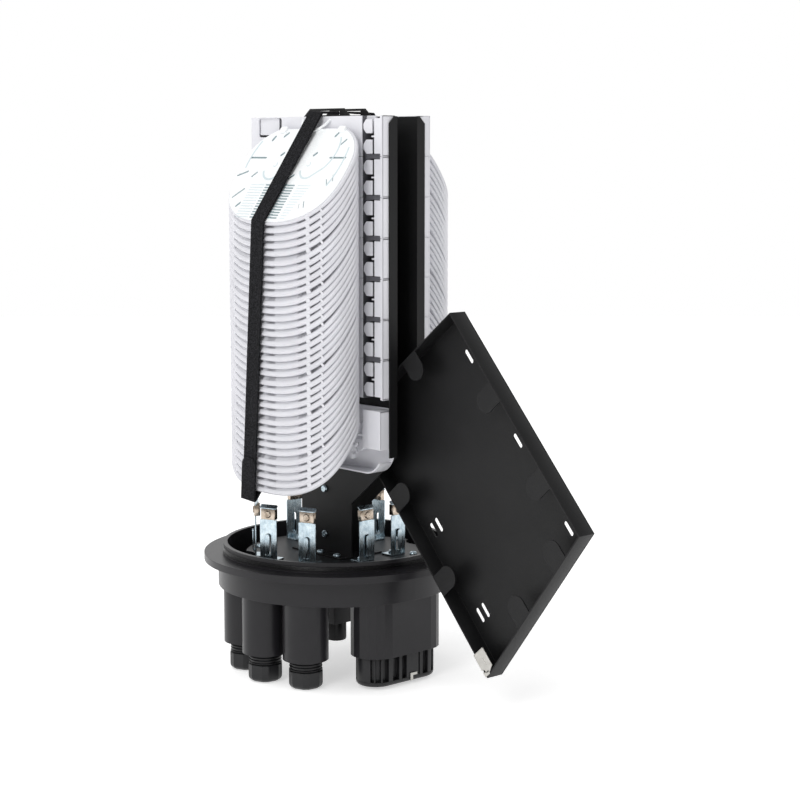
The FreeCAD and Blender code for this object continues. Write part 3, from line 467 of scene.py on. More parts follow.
def outward(outline: np.ndarray) -> np.ndarray:
    """Give the unit normals of an anticlockwise closed outline.

    Args:
        outline: Points of shape (n, 2).

    Returns:
        Normals of shape (n, 2).
    """
    along = np.roll(outline, -1, 0) - np.roll(outline, 1, 0)
    along /= np.linalg.norm(along, axis=1, keepdims=True)
    return np.stack([along[:, 1], -along[:, 0]], -1)


def level(outline: np.ndarray, height: float | np.ndarray) -> np.ndarray:
    """Lift an outline to a height.

    Args:
        outline: Points of shape (n, 2).
        height: One height, or one for each point.

    Returns:
        Points of shape (n, 3).
    """
    return np.column_stack([outline, np.broadcast_to(height, len(outline))])


def drawn_in(outline: np.ndarray, profile: list[tuple]) -> np.ndarray:
    """Draw an outline in and lift it, ring by ring.

    Args:
        outline: The closed outline, anticlockwise.
        profile: Inset and height of each ring.

    Returns:
        Points of shape (rings, points, 3).
    """
    away = outward(outline)
    return np.stack([level(outline - away * inset, height) for inset, height in profile])


class Shell:
    """Collects the points and triangles of one piece, in millimetres."""

    def __init__(self) -> None:
        """Start empty."""
        self._points: list[np.ndarray] = []
        self._faces: list[np.ndarray] = []
        self._count = 0

    def add(self, points: np.ndarray, faces: np.ndarray, place: np.ndarray | None = None) -> "Shell":
        """Add points and triangles.

        Args:
            points: Points of shape (n, 3).
            faces: Point numbers of shape (m, 3).
            place: Placement for the points.

        Returns:
            This shell.
        """
        self._points.append(points if place is None else moved(points, place))
        self._faces.append(faces + self._count)
        self._count += len(points)
        return self

    def loft(self, rings: np.ndarray, place: np.ndarray | None = None, caps: bool = True,
             closed: bool = False) -> "Shell":
        """Join rings of points in order.

        Args:
            rings: Points of shape (rings, points, 3).
            place: Placement for the points.
            caps: Whether the first and last ring are filled by a fan about their middle.
            closed: Whether the last ring joins the first, without caps.

        Returns:
            This shell.
        """
        count, size = rings.shape[:2]
        first = np.arange(count if closed else count - 1)[:, None] * size
        here = np.arange(size)[None, :]
        ahead = (here + 1) % size
        above = (first + size) % (count * size)
        corners = np.broadcast_arrays(first + here, first + ahead, above + ahead, above + here)
        a, b, c, d = (corner.ravel() for corner in corners)
        faces = np.concatenate([np.stack([a, b, c], -1), np.stack([a, c, d], -1)])
        self.add(rings.reshape(-1, 3), faces, place)
        if caps and not closed:
            self._fan(rings[0][::-1], place)
            self._fan(rings[-1], place)
        return self

    def _fan(self, ring: np.ndarray, place: np.ndarray | None) -> None:
        """Fill a ring with triangles about its middle.

        Args:
            ring: Points of shape (n, 3).
            place: Placement for the points.
        """
        size = len(ring)
        here = np.arange(size)
        points = np.concatenate([ring, ring.mean(0, keepdims=True)])
        self.add(points, np.stack([here, (here + 1) % size, np.full(size, size)], -1), place)

    def plate(self, outlines: list[np.ndarray], low: float, high: float, bevel: float = 0.15,
              place: np.ndarray | None = None) -> "Shell":
        """Add a flat plate with rounded edges; outlines inside others are holes.

        Args:
            outlines: Closed outlines of shape (n, 2).
            low: Height of the lower face.
            high: Height of the upper face.
            bevel: Radius of the edges.
            place: Placement for the points.

        Returns:
            This shell.
        """
        curve = bpy.data.curves.new("outline", "CURVE")
        curve.dimensions = "2D"
        curve.fill_mode = "BOTH"
        curve.bevel_mode = "ROUND"
        curve.bevel_depth = bevel
        curve.bevel_resolution = 1
        curve.offset = -bevel
        curve.extrude = (high - low) / 2 - bevel
        for outline in outlines:
            spline = curve.splines.new("POLY")
            spline.points.add(len(outline) - 1)
            flat = np.zeros((len(outline), 4), np.float32)
            flat[:, :2] = outline
            flat[:, 3] = 1.0
            spline.points.foreach_set("co", flat.ravel())
            spline.use_cyclic_u = True
        holder = bpy.data.objects.new("outline", curve)
        mesh = bpy.data.meshes.new_from_object(holder)
        mesh.calc_loop_triangles()
        points = np.zeros(len(mesh.vertices) * 3)
        mesh.vertices.foreach_get("co", points)
        faces = np.zeros(len(mesh.loop_triangles) * 3, np.int32)
        mesh.loop_triangles.foreach_get("vertices", faces)
        bpy.data.objects.remove(holder)
        bpy.data.curves.remove(curve)
        bpy.data.meshes.remove(mesh)
        points = points.reshape(-1, 3) + (0.0, 0.0, (low + high) / 2)
        return self.add(points, faces.reshape(-1, 3), place)

    def turned(self, profile: list[tuple[float, float]] | np.ndarray, place: np.ndarray, steps: int,
               closed: bool = False) -> "Shell":
        """Turn a profile about Z.

        Args:
            profile: Radius and height of each point.
            place: Placement for the points.
            steps: Points round the turn.
            closed: Whether the profile's last point joins its first.

        Returns:
            This shell.
        """
        angles = np.linspace(0, 2 * np.pi, steps, endpoint=False)
        radius, height = np.hsplit(np.array(profile), 2)
        rings = np.stack([radius * np.cos(angles), radius * np.sin(angles), height + 0 * angles], -1)
        return self.loft(rings, place, closed=closed)

    def piece(self, name: str, material: Material, slot: str, body: str = "root",
              stands_for: tuple[str, ...] = (), sharp: float = 32.0) -> Object:
        """Make the piece's object and let it ride on its body.

        Args:
            name: The object's name.
            material: Its material.
            slot: The record's material slot; not used.
            body: The body that it rides on.
            stands_for: CAD nodes that it replaces.
            sharp: Edges above this angle in degrees stay sharp.

        Returns:
            The object.
        """
        points = np.concatenate(self._points) * MM
        faces = np.concatenate(self._faces).astype(np.int32)
        mesh = bpy.data.meshes.new(name)
        mesh.vertices.add(len(points))
        mesh.vertices.foreach_set("co", points.astype(np.float32).ravel())
        mesh.loops.add(faces.size)
        mesh.loops.foreach_set("vertex_index", faces.ravel())
        mesh.polygons.add(len(faces))
        mesh.polygons.foreach_set("loop_start", np.arange(0, faces.size, 3, dtype=np.int32))
        mesh.polygons.foreach_set("loop_total", np.full(len(faces), 3, np.int32))
        mesh.update(calc_edges=True)
        mesh.validate()
        mesh.polygons.foreach_set("use_smooth", np.ones(len(mesh.polygons), bool))
        mesh.set_sharp_from_angle(angle=math.radians(sharp))
        mesh.materials.append(material)
        item = placed(name, mesh)
        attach(item, body)
        if stands_for:
            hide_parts(*stands_for)
        return item


class Finish(Enum):
    """The finishes of the closure."""

    MOULDED_BLACK = Moulded("black_polypropylene", "#1b1a1d", "#201f22", 0.33, 0.0007, 0.00002, 0.0008,
                            gleam=0.3)
    PLUG_BLACK = Moulded("black_nylon", "#19191b", "#1f1f21", 0.4, 0.0006, 0.00004, gleam=0.4)
    VALVE_BLACK = Moulded("black_acetal", "#0d0d0e", "#121213", 0.36, 0.0006, 0.00003, gleam=0.3)
    SEAL_RUBBER = Moulded("black_silicone_rubber", "#111112", "#151517", 0.3, 0.0011, 0.00003, gleam=0.5)
    ZINC_PLATE = Moulded("dark_coated_steel", "#131416", "#1a1b1e", 0.42, 0.0008, 0.00004, gleam=0.35)
    POWDER_COAT = Moulded("black_powder_coat", "#111112", "#161617", 0.5, 0.0009, 0.00012, 0.0005, gleam=0.3)
    WHITE_ABS = Moulded("white_abs", "#dedee3", "#e5e5ea", 0.42, 0.0009, 0.00003, 0.0004)
    TRAY_WHITE = Moulded("white_polycarbonate_blend", "#d8d8dd", "#dfdfe4", 0.4, 0.0009, 0.00003, 0.0004)
    NUT_BLACK = Moulded("black_glass_filled_nylon", "#1a1a1c", "#1f1f21", 0.33, 0.0006, 0.00003, 0.0005,
                        gleam=0.35)
    # Teal-grey painted shade: the uppermost tray's inside under the lid's openings, and the splice holders'
    # dark bars.
    TRAY_SHADE = Moulded("tray_inside_shade", "#7f9398", "#93a5a9", 0.4, 0.0009, 0.00002, 0.0002)
    # Pale blue-grey painted shade: the drums' walls and the pale holder bars under the frosted lid, seen
    # through it as lines.
    TRAY_LINES = Moulded("painted_shade_lines", "#cbd9dd", "#d4e0e3", 0.35, 0.0009, 0.00002, 0.0002)
    # Grey of the joint latches, also used as painted shade on the side recess's walls.
    JOINT_GREY = Moulded("latch_grey_and_recess_shade", "#5b5b60", "#66666b", 0.5, 0.0009, 0.00003, 0.0003)
    ZINC_STEEL = Plated("blue_zinc_steel", "#a9bcc7", "#d6e3e9", 0.27)
    CLAMP_NICKEL = Plated("nickel_plated_brass", "#a39484", "#cfc2b4", 0.24)
    SPRING_STEEL = Plated("spring_steel", "#bdbbb6", "#c8c6c1", 0.36)
    TRAY_COVER = Moulded("frosted_polycarbonate", "#f6f9fa", "#fafcfd", 0.26, 0.0012, 0.00003, 0.0003, 0.3)
    STRAP_FABRIC = HookAndLoop("hook_and_loop_tape", "#050506", "#2a2a2d", 0.0012)


class Finishes:
    """Builds each finish once and hands out its material."""

    def __init__(self) -> None:
        """Start with no material built."""
        self._built: dict[Finish, Material] = {}

    def get(self, finish: Finish) -> Material:
        """Give a finish's material.

        Args:
            finish: The finish.

        Returns:
            Its material, built at the first call.
        """
        if finish not in self._built:
            self._built[finish] = finish.value.build()
        return self._built[finish]

    def dress_frame(self, record: dict) -> None:
        """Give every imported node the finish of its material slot.

        Args:
            record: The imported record.
        """
        for part in record["subparts"]:
            node = frame["nodes"][part["node"]]
            material = self.get(Finish[part["material_slot"].upper()])
            for place in node.material_slots:
                place.material = material
            if not node.material_slots:
                LOG.warning("%s has no material slot", part["node"])


# The trays

@dataclass(frozen=True)
class TrayShape:
    """A splice tray's form in its own plane.

    X runs across, V up the slope from the nose to the hinge, and N along the plane's normal.

    Attributes:
        half: Half of the width in mm.
        crown: From the hinge line to the widest place.
        long: From the hinge line to the nose.
        square: Exponent of the outline.
        hinge: Where the outline is cut off.
        thick: Thickness of a tray.
        rim: Width of the rim's flat.
        points: Points round the outline.
        nose: V below which the outline counts as the nose.
    """

    half: float = 89.5
    crown: float = 58.0
    long: float = 125.0
    square: float = 2.5
    hinge: float = -6.3
    thick: float = 3.9
    rim: float = 4.4
    points: int = 144
    nose: float = -60.0

    def outline(self, inset: float = 0.0) -> np.ndarray:
        """Give the outline, drawn in by an inset.

        It is a superellipse about the crown, with a longer reach to the nose, cut off at the hinge.

        Args:
            inset: The distance in mm.

        Returns:
            Points of shape (points, 2), anticlockwise.
        """
        angle = np.linspace(0, 2 * np.pi, 1440, endpoint=False)
        across, along = np.sin(angle), np.cos(angle)
        reach = np.where(along > 0, self.crown, self.long - self.crown)
        x = -self.half * np.sign(across) * np.abs(across) ** (2 / self.square)
        v = -self.crown + reach * np.sign(along) * np.abs(along) ** (2 / self.square)
        v = np.minimum(v, self.hinge)
        outline = resampled(np.stack([x, v], -1), self.points)
        return outline - outward(outline) * inset


@dataclass(frozen=True)
class TrayStack:
    """One side's stack of splice trays, five to a module.

    Attributes:
        side: "front" or "rear".
        shape: A tray's form.
        centre: X of the trays' middle on the front side.
        face: Y of the groove plates' face.
        top: Z of the uppermost tray's hinge line.
        tilt: Slope of the trays in degrees.
        modules: How many modules there are.
        per_module: Trays in a module.
        module_pitch: Height of a module.
        tray_pitch: Vertical distance of two trays.
        well: From the outline in to the flat middle of the floor and the underside.
        channel: Depth of the channel inside the rim.
        window_deep: Depth of the channel's windows.
        windows: The windows' ranges of X on the nose.
        lugs: X and half the width of each spacer lug.
    """

    side: str
    shape: TrayShape = field(default_factory=TrayShape)
    centre: float = 11.5
    face: float = 33.0
    top: float = 582.8
    tilt: float = 55.0
    modules: int = 7
    per_module: int = 5
    module_pitch: float = 41.0
    tray_pitch: float = 7.8
    well: float = 12.0
    channel: float = 0.35
    window_deep: float = 2.6
    windows: tuple[tuple[float, float], ...] = (
        (-1.5, 10.5), (48.5, 59.5), (64.5, 72.8), (76.0, 95.0), (-20.0, -8.0), (-95.0, -82.0),
    )
    lugs: tuple[tuple[float, float], ...] = ((61.5, 2.4), (73.8, 1.2), (-62.0, 2.0), (-74.0, 1.2))

    def place(self, drop: float = 0.0) -> np.ndarray:
        """Give the placement of a tray's plane.

        Args:
            drop: How far below the uppermost tray it lies.

        Returns:
            The placement.
        """
        if self.side == "front":
            return spot(self.centre, -self.face, self.top - drop, 0.0, self.tilt)
        return spot(2 * PANEL_CENTRE - self.centre, self.face, self.top - drop, 180.0, self.tilt)

    def build(self, finishes: "Finishes") -> None:
        """Make the trays, a piece to a module.

        Args:
            finishes: Hands out the materials.
        """
        rings = self._rings()
        white = finishes.get(Finish.TRAY_WHITE)
        for module in range(self.modules):
            shell = Shell()
            for tray in range(self.per_module):
                place = self.place(module * self.module_pitch + tray * self.tray_pitch)
                shell.loft(rings, place)
                last = tray == self.per_module - 1
                if not (last and module == self.modules - 1):
                    self._lugs(shell, place, last)
            shell.piece(f"{self.side}_tray_stack_{module + 1}", white, "tray_white",
                        stands_for=(f"{self.side}_trays_{module + 1}",))

    def _rings(self) -> np.ndarray:
        """Give the rings of a tray from its underside over the rounded rim to the sunk floor.

        Returns:
            Points of shape (rings, points, 3).
        """
        base = self.shape.outline()
        rim, low, sunk = self.shape.rim, -self.shape.thick, -self._depths(base)
        return drawn_in(base, [
            (self.well, low), (1.0, low), (0.3, low + 0.3), (0.0, low + 1.0),
            (0.0, -1.0), (0.35, -0.3), (1.1, 0.0), (rim, 0.0), (rim + 0.3, sunk), (self.well, sunk),
        ])

    def _depths(self, base: np.ndarray) -> np.ndarray:
        """Say how deep the channel inside the rim is at each point of the outline.

        Args:
            base: The outline.

        Returns:
            Depths of shape (points,).
        """
        x, v = base.T
        low, high = np.array(self.windows).T[..., None]
        inside = ((x > low) & (x < high)).any(0) & (v < self.shape.nose)
        return np.where(inside, self.window_deep, self.channel)

    def _lugs(self, shell: Shell, place: np.ndarray, last: bool) -> None:
        """Add the spacer lugs under a tray's rim.

        Args:
            shell: The shell that takes them.
            place: The tray's placement.
            last: Whether the next tray down belongs to another module.
        """
        base = self.shape.outline()
        away = outward(base)
        slope = math.radians(self.tilt)
        step = self.module_pitch - (self.per_module - 1) * self.tray_pitch if last else self.tray_pitch
        gap = step * math.cos(slope)
        nose = np.flatnonzero(base[:, 1] < self.shape.nose)
        for middle, half in self.lugs:
            index = nose[np.argmin(np.abs(base[nose, 0] - middle))]
            start, out = base[index], away[index]
            along = np.array([-out[1], out[0]])
            rise = max(-out[1], 0.2) * math.tan(slope)
            reach = min(gap / rise, 4.2)
            section = [(-3.0, -1.2), (-0.4, -1.2), (-0.4 + 0.8 * reach, -gap + 0.02), (-3.0, -gap + 0.02)]
            ends = [[[*(start + along * offset + out * o), n] for o, n in section]
                    for offset in (-half, half)]
            shell.loft(np.array(ends), place)


@dataclass(frozen=True)
class TrayCover:
    """The frosted lid of the uppermost tray, with the tray's inside showing through its openings as a sheet
    of painted shade.

    Attributes:
        stack: The stack that it lies on.
        inset: How far its edge lies inside the trays' outline.
        thick: Its thickness.
        shift: From the panels' middle to the trays' middle.
        comb_rows: Rows of splice holders.
        comb_top: V of the first row.
        comb_pitch: Distance of two rows.
        comb_lean: How far each row is drawn in from the one above it.
        sink: How far what stands on the lid reaches into it.
    """

    stack: TrayStack
    inset: float = 2.2
    thick: float = 1.2
    shift: float = 4.5
    comb_rows: int = 13
    comb_top: float = -78.5
    comb_pitch: float = 3.3
    comb_lean: float = 0.12
    sink: float = 0.1

    def build(self, finishes: "Finishes") -> None:
        """Make the lid, its openings with a sheet of painted shade under them, the drums' outlines as lines
        of painted shade, and the splice holders, whose dark bars are painted shadow.

        Args:
            finishes: Hands out the materials.
        """
        place = self.stack.place()
        side = self.stack.side
        under = self.thick - self.sink
        slots = [self._bar(*ends) for ends in self._slots()]
        lid = Shell().plate([self.stack.shape.outline(self.inset), *slots], 0.05, self.thick, 0.2, place)
        lid.plate([self._bar((-33, -75), (48, -74), 4.6)], under, self.thick + 0.25, 0.12, place)
        lid.plate([strip(arc(5 - self.shift, 12, 24, -158, -22, 24), 2.2)], under, 3.2, 0.3, place)
        for x in (-44.5, 49.5):
            lid.plate([rounded(x - 5.5, x + 5.5, -13.5, -6.5, 2.5)], 0.1, 3.6, 0.5, place)
        lid.piece(f"{side}_lid", finishes.get(Finish.TRAY_COVER), "tray_cover",
                  stands_for=(f"{side}_tray_cover",), sharp=40.0)
        # A sheet of painted shade under each opening stands for the tray's shaded inside.
        inside = Shell()
        for outline in slots:
            middle = outline.mean(0)
            inside.plate([middle + (outline - middle) * 1.02], -0.3, 0.45, 0.1, place)
        inside.piece(f"{side}_painted_shade_tray_inside", finishes.get(Finish.TRAY_SHADE), "tray_white")
        # Pale bars go with the lid's lines of painted shade; dark bars are the splice holders' painted
        # shadow.
        faint, dark = (
            [self._bar(*ends) for row in range(self.comb_rows) for ends in self._holders(row, pale)]
            for pale in (True, False)
        )
        # Lines of painted shade on the lid's face stand for the drums' walls and the pale holder bars beneath
        # it.
        lines = Shell()
        self._press(lines, [strip(course, 2.2) for course in self._drums()], 0.18)
        self._press(lines, [strip(arc(x - self.shift, v, 2.6, -150, 60, 12), 0.8)
                            for x, v in ((-25, -53), (29, -52))], 0.2)
        self._press(lines, faint, 0.2)
        lines.piece(f"{side}_lid_shade_lines", finishes.get(Finish.TRAY_LINES), "tray_cover")
        # The splice holders' dark bars are painted shadow in the teal-grey shade finish.
        comb = Shell()
        self._press(comb, dark, 0.22)
        comb.piece(f"{side}_splice_holder_shadows", finishes.get(Finish.TRAY_SHADE), "tray_cover")

    def _press(self, shell: Shell, outlines: list[np.ndarray], rise: float) -> None:
        """Add closed outlines as marks that rise a height over the lid's face."""
        for outline in outlines:
            shell.plate([outline], self.thick - self.sink, self.thick + rise, 0.08, self.stack.place())

    def _bar(self, start: tuple[float, float], end: tuple[float, float], width: float = 2.0) -> np.ndarray:
        """Give the outline of a straight bar with round ends.

        Args:
            start: X from the panels' middle and V of one end.
            end: X and V of the other end.
            width: The bar's width.

        Returns:
            The closed outline.
        """
        a, b = (np.array(point, float) - (self.shift, 0) for point in (start, end))
        angle = math.degrees(math.atan2(*(b - a)[::-1]))
        return np.concatenate([
            arc(*b, width / 2, angle - 90, angle + 90, 7),
            arc(*a, width / 2, angle + 90, angle + 270, 7),
        ])

    def _slots(self) -> list[tuple]:
        """List the openings as start, end and width.

        Returns:
            The openings.
        """
        return [
            ((-72, -44.5), (-47, -44.5), 2.2), ((57, -44), (81, -44), 2.2),
            ((-79, -67.2), (-65, -62), 2.4), ((-54, -68), (-49, -63), 2.6),
            ((-68, -94.4), (-56, -84), 2.4), ((-54, -105), (-50.5, -101.5), 3.2),
            ((-35, -17.5), (-31, -13.5), 3.2), ((-51.5, -22), (-50, -18), 3.6),
            ((64, -27), (68, -22), 2.6), ((48, -17.5), (50, -14), 3.4),
            ((-23.6, -41), (-21, -38.6), 3.4), ((29.6, -41), (32.4, -38.6), 3.4),
            ((69, -70), (74, -77), 1.2), ((76, -65), (80, -72), 1.0), ((52, -97), (56, -104), 1.4),
            ((47, -100), (49, -106), 0.9), ((8, -70), (14, -66), 3.0),
        ]

    def _drums(self) -> list[np.ndarray]:
        """List the courses of the drums' outlines.

        Returns:
            Open courses of shape (n, 2).
        """
        s = self.shift
        left = arc(-24 - s, -56, 15.5, 200, 320, 18)
        right = np.concatenate([arc(34 - s, -56, 13.5, 200, 300, 14), arc(31 - s, -36, 32, -40, 32, 18)])
        rim = arc(-2 - s, -50, 71, 158, 186, 12)
        edge = arc(-s, -48, 80, -22, 12, 12)
        return [left, right, rim, edge]

    def _holders(self, row: int, faint: bool) -> list[tuple]:
        """List the bars of one row of splice holders.

        Args:
            row: The row's number, from the bar towards the nose.
            faint: Whether to list the pale bars or the dark ones; the pale bars are painted shade and the
                dark ones painted shadow.

        Returns:
            Bars as start, end and width.
        """
        v = self.comb_top - row * self.comb_pitch
        lean = self.comb_lean * row
        if faint:
            return [((-47 + lean, v), (-26 + lean, v), 0.7), ((30 - lean, v), (50 - 1.2 * row, v), 0.7)]
        return [((-22 + lean, v), (-13 + lean, v), 1.5), ((2 + lean, v), (12 + lean, v + 0.4), 1.9),
                ((14, v), (24 - lean, v), 1.5)]


# The groove plates and the organizer

@dataclass(frozen=True)
class GroovePlate:
    """The white modules that the trays hang on, seen in their own plane.

    X runs across from the panels' middle, Z up and the depth towards the trays.

    Attributes:
        side: "front" or "rear".
        centre: X of the panels' middle.
        back: Depth of the frame's face from the middle plane.
        top: Z of the uppermost module's top.
        pitch: Height of a module.
        gap: Gap between two modules.
        half: Half of a module's width.
        deep: Depth of a module.
        modules: How many there are.
        recess: X at which the side recess begins.
        band: X of the side band's inner edges, between and at its arms.
        arm: Height of the band's arms.
        tabs: Height of each tab's middle.
        skin: Thickness of the front.
        wall: Thickness of the side walls.
        web: Thickness of the upper and lower walls.
    """

    side: str
    centre: float = PANEL_CENTRE
    back: float = 15.0
    top: float = 589.8
    pitch: float = 41.0
    gap: float = 0.5
    half: float = 106.2
    deep: float = 18.0
    modules: int = 7
    recess: float = 76.0
    band: tuple[float, float] = (94.6, 103.6)
    arm: float = 2.6
    tabs: tuple[float, ...] = (9.5, 30.0)
    skin: float = 2.0
    wall: float = 1.6
    web: float = 1.2

    def place(self, drop: float) -> np.ndarray:
        """Give the upright placement of a module whose lower edge lies a drop below the top."""
        depth, turn = (-self.back, 0.0) if self.side == "front" else (self.back, 180.0)
        return spot(self.centre, depth, self.top - drop, turn, 90.0)

    def build(self, finishes: "Finishes") -> None:
        """Make the modules of this side.

        Args:
            finishes: Hands out the materials.
        """
        # The grey finish colours the joint latches and paints shade on the recess walls.
        white, dark = finishes.get(Finish.WHITE_ABS), finishes.get(Finish.JOINT_GREY)
        joints = Shell()
        modules = Shell()
        for number in range(self.modules):
            place = self.place((number + 1) * self.pitch)
            shell = Shell() if self.side == "front" else modules
            self._module(shell, place, first=number == 0)
            if self.side == "front":
                shell.piece(f"front_module_{number + 1}", white, "white_abs",
                            stands_for=(f"front_groove_plate_{number + 1}",))
            self._recess(joints, place)
            if number < self.modules - 1:
                self._joint(joints, place)
        joints.piece(f"{self.side}_module_joints_and_recess_shade", dark, "white_abs")
        if self.side == "rear":
            modules.piece("rear_modules", white, "white_abs", stands_for=("rear_groove_plates",))

    def _module(self, shell: Shell, place: np.ndarray, first: bool) -> None:
        """Add one module.

        Args:
            shell: The shell that takes it.
            place: Its placement.
            first: Whether it is the uppermost one, with the window.
        """
        tall, deep, half = self.pitch - self.gap, self.deep, self.half
        face = [np.array([(-half, 0), (self.recess, 0), (self.recess, tall), (-half, tall)])]
        if first:
            face.append(rounded(-93, -54, tall - 21, tall - 1.2, 2.0))
            shell.plate([rounded(-92.8, -60.5, tall - 18.8, tall - 1.0, 1.5)], deep - 4.0, deep - self.skin,
                        0.3, place)
        shell.plate(face, deep - self.skin, deep, 0.25, place)
        inner, edge = self.band
        low, high = self.arm, tall - self.arm
        band = np.array([(inner, low), (edge, low), (edge, 0), (half, 0), (half, tall), (edge, tall),
                         (edge, high), (inner, high)])
        shell.plate([band], deep - self.skin, deep, 0.3, place)
        walls = [(half - self.wall, half, 0, tall), (-half, -half + self.wall, 0, tall)]
        for low in (0.0, tall - self.web):
            high = low + self.web
            walls += [(-half, self.recess - 0.5, low, high), (edge + 0.2, half, low, high)]
        for wall in walls:
            shell.plate([rounded(*wall, 0.3, 2)], 0.1, deep - 1.0, 0.2, place)
        for left in (-half, half - self.wall):
            bridge = rounded(left + 0.2, left + 1.4, -self.gap, 0.2, 0.1, 2)
            shell.plate([bridge], 0.3, deep - 0.6, 0.05, place)
        for middle in self.tabs:
            low, high = middle - 7.1, middle + 7.1
            tab = np.concatenate([
                arc(89.9, high - 0.7, 0.7, 0, 90, 4), arc(82.0, high - 1.5, 1.5, 90, 135, 4),
                arc(78.6, high - 5.2, 1.5, 135, 180, 4), arc(78.6, low + 5.2, 1.5, 180, 225, 4),
                arc(82.0, low + 1.5, 1.5, 225, 270, 4), arc(89.9, low + 0.7, 0.7, 270, 360, 4),
            ])
            shell.plate([tab], deep - 2.6, deep - 0.9, 0.4, place)
        shell.plate([rounded(88.5, 95.5, 18.9, 20.6, 0.6, 3)], deep - 5.0, deep - 1.6, 0.3, place)
        if first:
            shell.plate([rounded(self.recess, 90, tall - 16, tall, 1.0)], deep - 9.0, deep - 6.5, 0.3, place)

    def _recess(self, shell: Shell, place: np.ndarray) -> None:
        """Add the walls of the recess behind the tabs, coloured grey as painted shade.

        Args:
            shell: The shell that takes them.
            place: The module's placement.
        """
        # Grey walls and blocks are painted shade for the dark recess behind the tabs.
        side = rounded(self.recess - 1.6, self.recess, -self.gap, self.pitch - self.gap, 0.3, 2)
        shell.plate([side], 2.0, self.deep - 0.8, 0.2, place)
        for middle in self.tabs:
            block = rounded(self.recess + 0.5, 84.0, middle - 3.0, middle + 3.0, 0.6, 3)
            shell.plate([block], 2.0, self.deep - 4.0, 0.3, place)

    def _joint(self, shell: Shell, place: np.ndarray) -> None:
        """Add the grey latch across a joint.

        Args:
            shell: The shell that takes it.
            place: The placement of the module above the joint.
        """
        middle, deep = -self.gap / 2, self.deep
        lower = [(79.5, -3.4), (86, -3.4), (87, -2.0), (93, -2.0), (94, -3.4), (103.2, -3.4)]
        outline = np.array(lower + [(x, -y) for x, y in lower[::-1]]) + (0, middle)
        shell.plate([outline], deep - 4.6, deep - 1.4, 0.4, place)
        for line in (middle - 1.6, middle + 1.6):
            rib = rounded(80.5, 102.6, line - 0.5, line + 0.5, 0.4, 3)
            shell.plate([rib], deep - 1.5, deep - 0.7, 0.2, place)


@dataclass(frozen=True)
class Organizer:
    """The white fibre guide under the modules, in the same plane as they.

    Attributes:
        plate: The modules above it.
        low: Z of its lower edge.
        high: Z of its upper edge.
        left: Its left edge from the panels' middle.
        bend: Radius of its lower corners.
        deep: Its depth.
        wall: Its wall.
        box: Width of the box at its right end.
        box_low: Height of the box's lower edge.
    """

    plate: GroovePlate
    low: float = 224.3
    high: float = 292.3
    left: float = -40.0
    bend: float = 26.0
    deep: float = 21.0
    wall: float = 1.8
    box: float = 27.0
    box_low: float = 27.0

    def build(self, finishes: "Finishes") -> None:
        """Make the guide.

        Args:
            finishes: Hands out the materials.
        """
        shell = Shell()
        place = self.plate.place(self.plate.top - self.low)
        tall, right, wall, bend, deep = self.high - self.low, self.plate.half, self.wall, self.bend, self.deep
        first, second = self.left + bend, right - bend
        back = np.concatenate([arc(first, bend, bend, 180, 270, 16), arc(second, bend, bend, -90, 0, 16),
                               [(right, tall), (self.left, tall)]])
        shell.plate([back], 0.1, wall, 0.3, place)
        course = np.concatenate([
            [(self.left + wall / 2, tall)], arc(first, bend, bend - wall / 2, 180, 270, 16),
            arc(second, bend, bend - wall / 2, -90, -32, 14),
        ])
        shell.plate([strip(course, wall)], wall - 0.2, deep - 3.0, 0.3, place)
        left, low, high = right - self.box, self.box_low, tall - 1.0
        shell.plate([rounded(left, right, low, high, 1.2)], deep - wall, deep, 0.5, place)
        for start, bottom in ((right - 1.8, low), (left + 6, tall - 2.6)):
            shell.plate([rounded(start, right, bottom, high, 0.4, 3)], wall, deep - 0.6, 0.3, place)
        shell.plate([strip(arc(60, 40, 19, -70, 60, 20), 1.5)], wall, 14.0, 0.3, place)
        shell.plate([strip(arc(70, 38, 15, 120, 205, 16), 1.5)], wall, 15.0, 0.3, place)
        shell.plate([rounded(left - 9, left + 2, 38.5, 41.0, 1.2, 4)], deep - 3.0, deep - 1.4, 0.3, place)
        for turned in (38.0, -52.0):
            bar = rounded(-7.5, 7.5, -1.3, 1.3, 1.2, 4)
            c, s = math.cos(math.radians(turned)), math.sin(math.radians(turned))
            shell.plate([bar @ np.array([[c, s], [-s, c]]) + (57.5, 25.0)], 12.0, 14.0, 0.4, place)
        shell.plate([rounded(52.5, 57.0, 12.0, 18.0, 1.8, 4)], 10.0, 15.0, 0.4, place)
        hook = rounded(self.left + 6, self.left + 20, tall - 24, tall - 21, 1.2, 4)
        shell.plate([hook], wall, 17.0, 0.4, place)
        shell.piece(f"{self.plate.side}_fibre_guide", finishes.get(Finish.WHITE_ABS), "white_abs",
                    stands_for=(f"{self.plate.side}_organizer",))


# Small fasteners

def cross_hole(size: float) -> np.ndarray:
    """Give the outline of a cross recess.

    Args:
        size: Its width from tip to tip.

    Returns:
        The closed outline.
    """
    a, b = size / 2, size * 0.13
    return np.array([(b, b), (b, a), (-b, a), (-b, b), (-a, b), (-a, -b), (-b, -b), (-b, -a), (b, -a),
                     (b, -b), (a, -b), (a, b)])


def screw_head(shell: Shell, place: np.ndarray, radius: float, tall: float) -> None:
    """Add a domed screw head with a cross recess, whose seat is at the placement's origin.

    Args:
        shell: The shell that takes it.
        place: Its placement, with Z along the screw.
        radius: The head's radius.
        tall: The head's height.
    """
    shell.turned([
        (radius * 0.97, 0.02), (radius, tall * 0.25),
        (radius * 0.93, tall * 0.55), (radius * 0.78, tall * 0.78),
    ], place, 24)
    crown = arc(0, 0, radius * 0.8, 0, 345, 24)
    shell.plate([crown, cross_hole(radius * 1.05)], tall * 0.72, tall, 0.18, place)


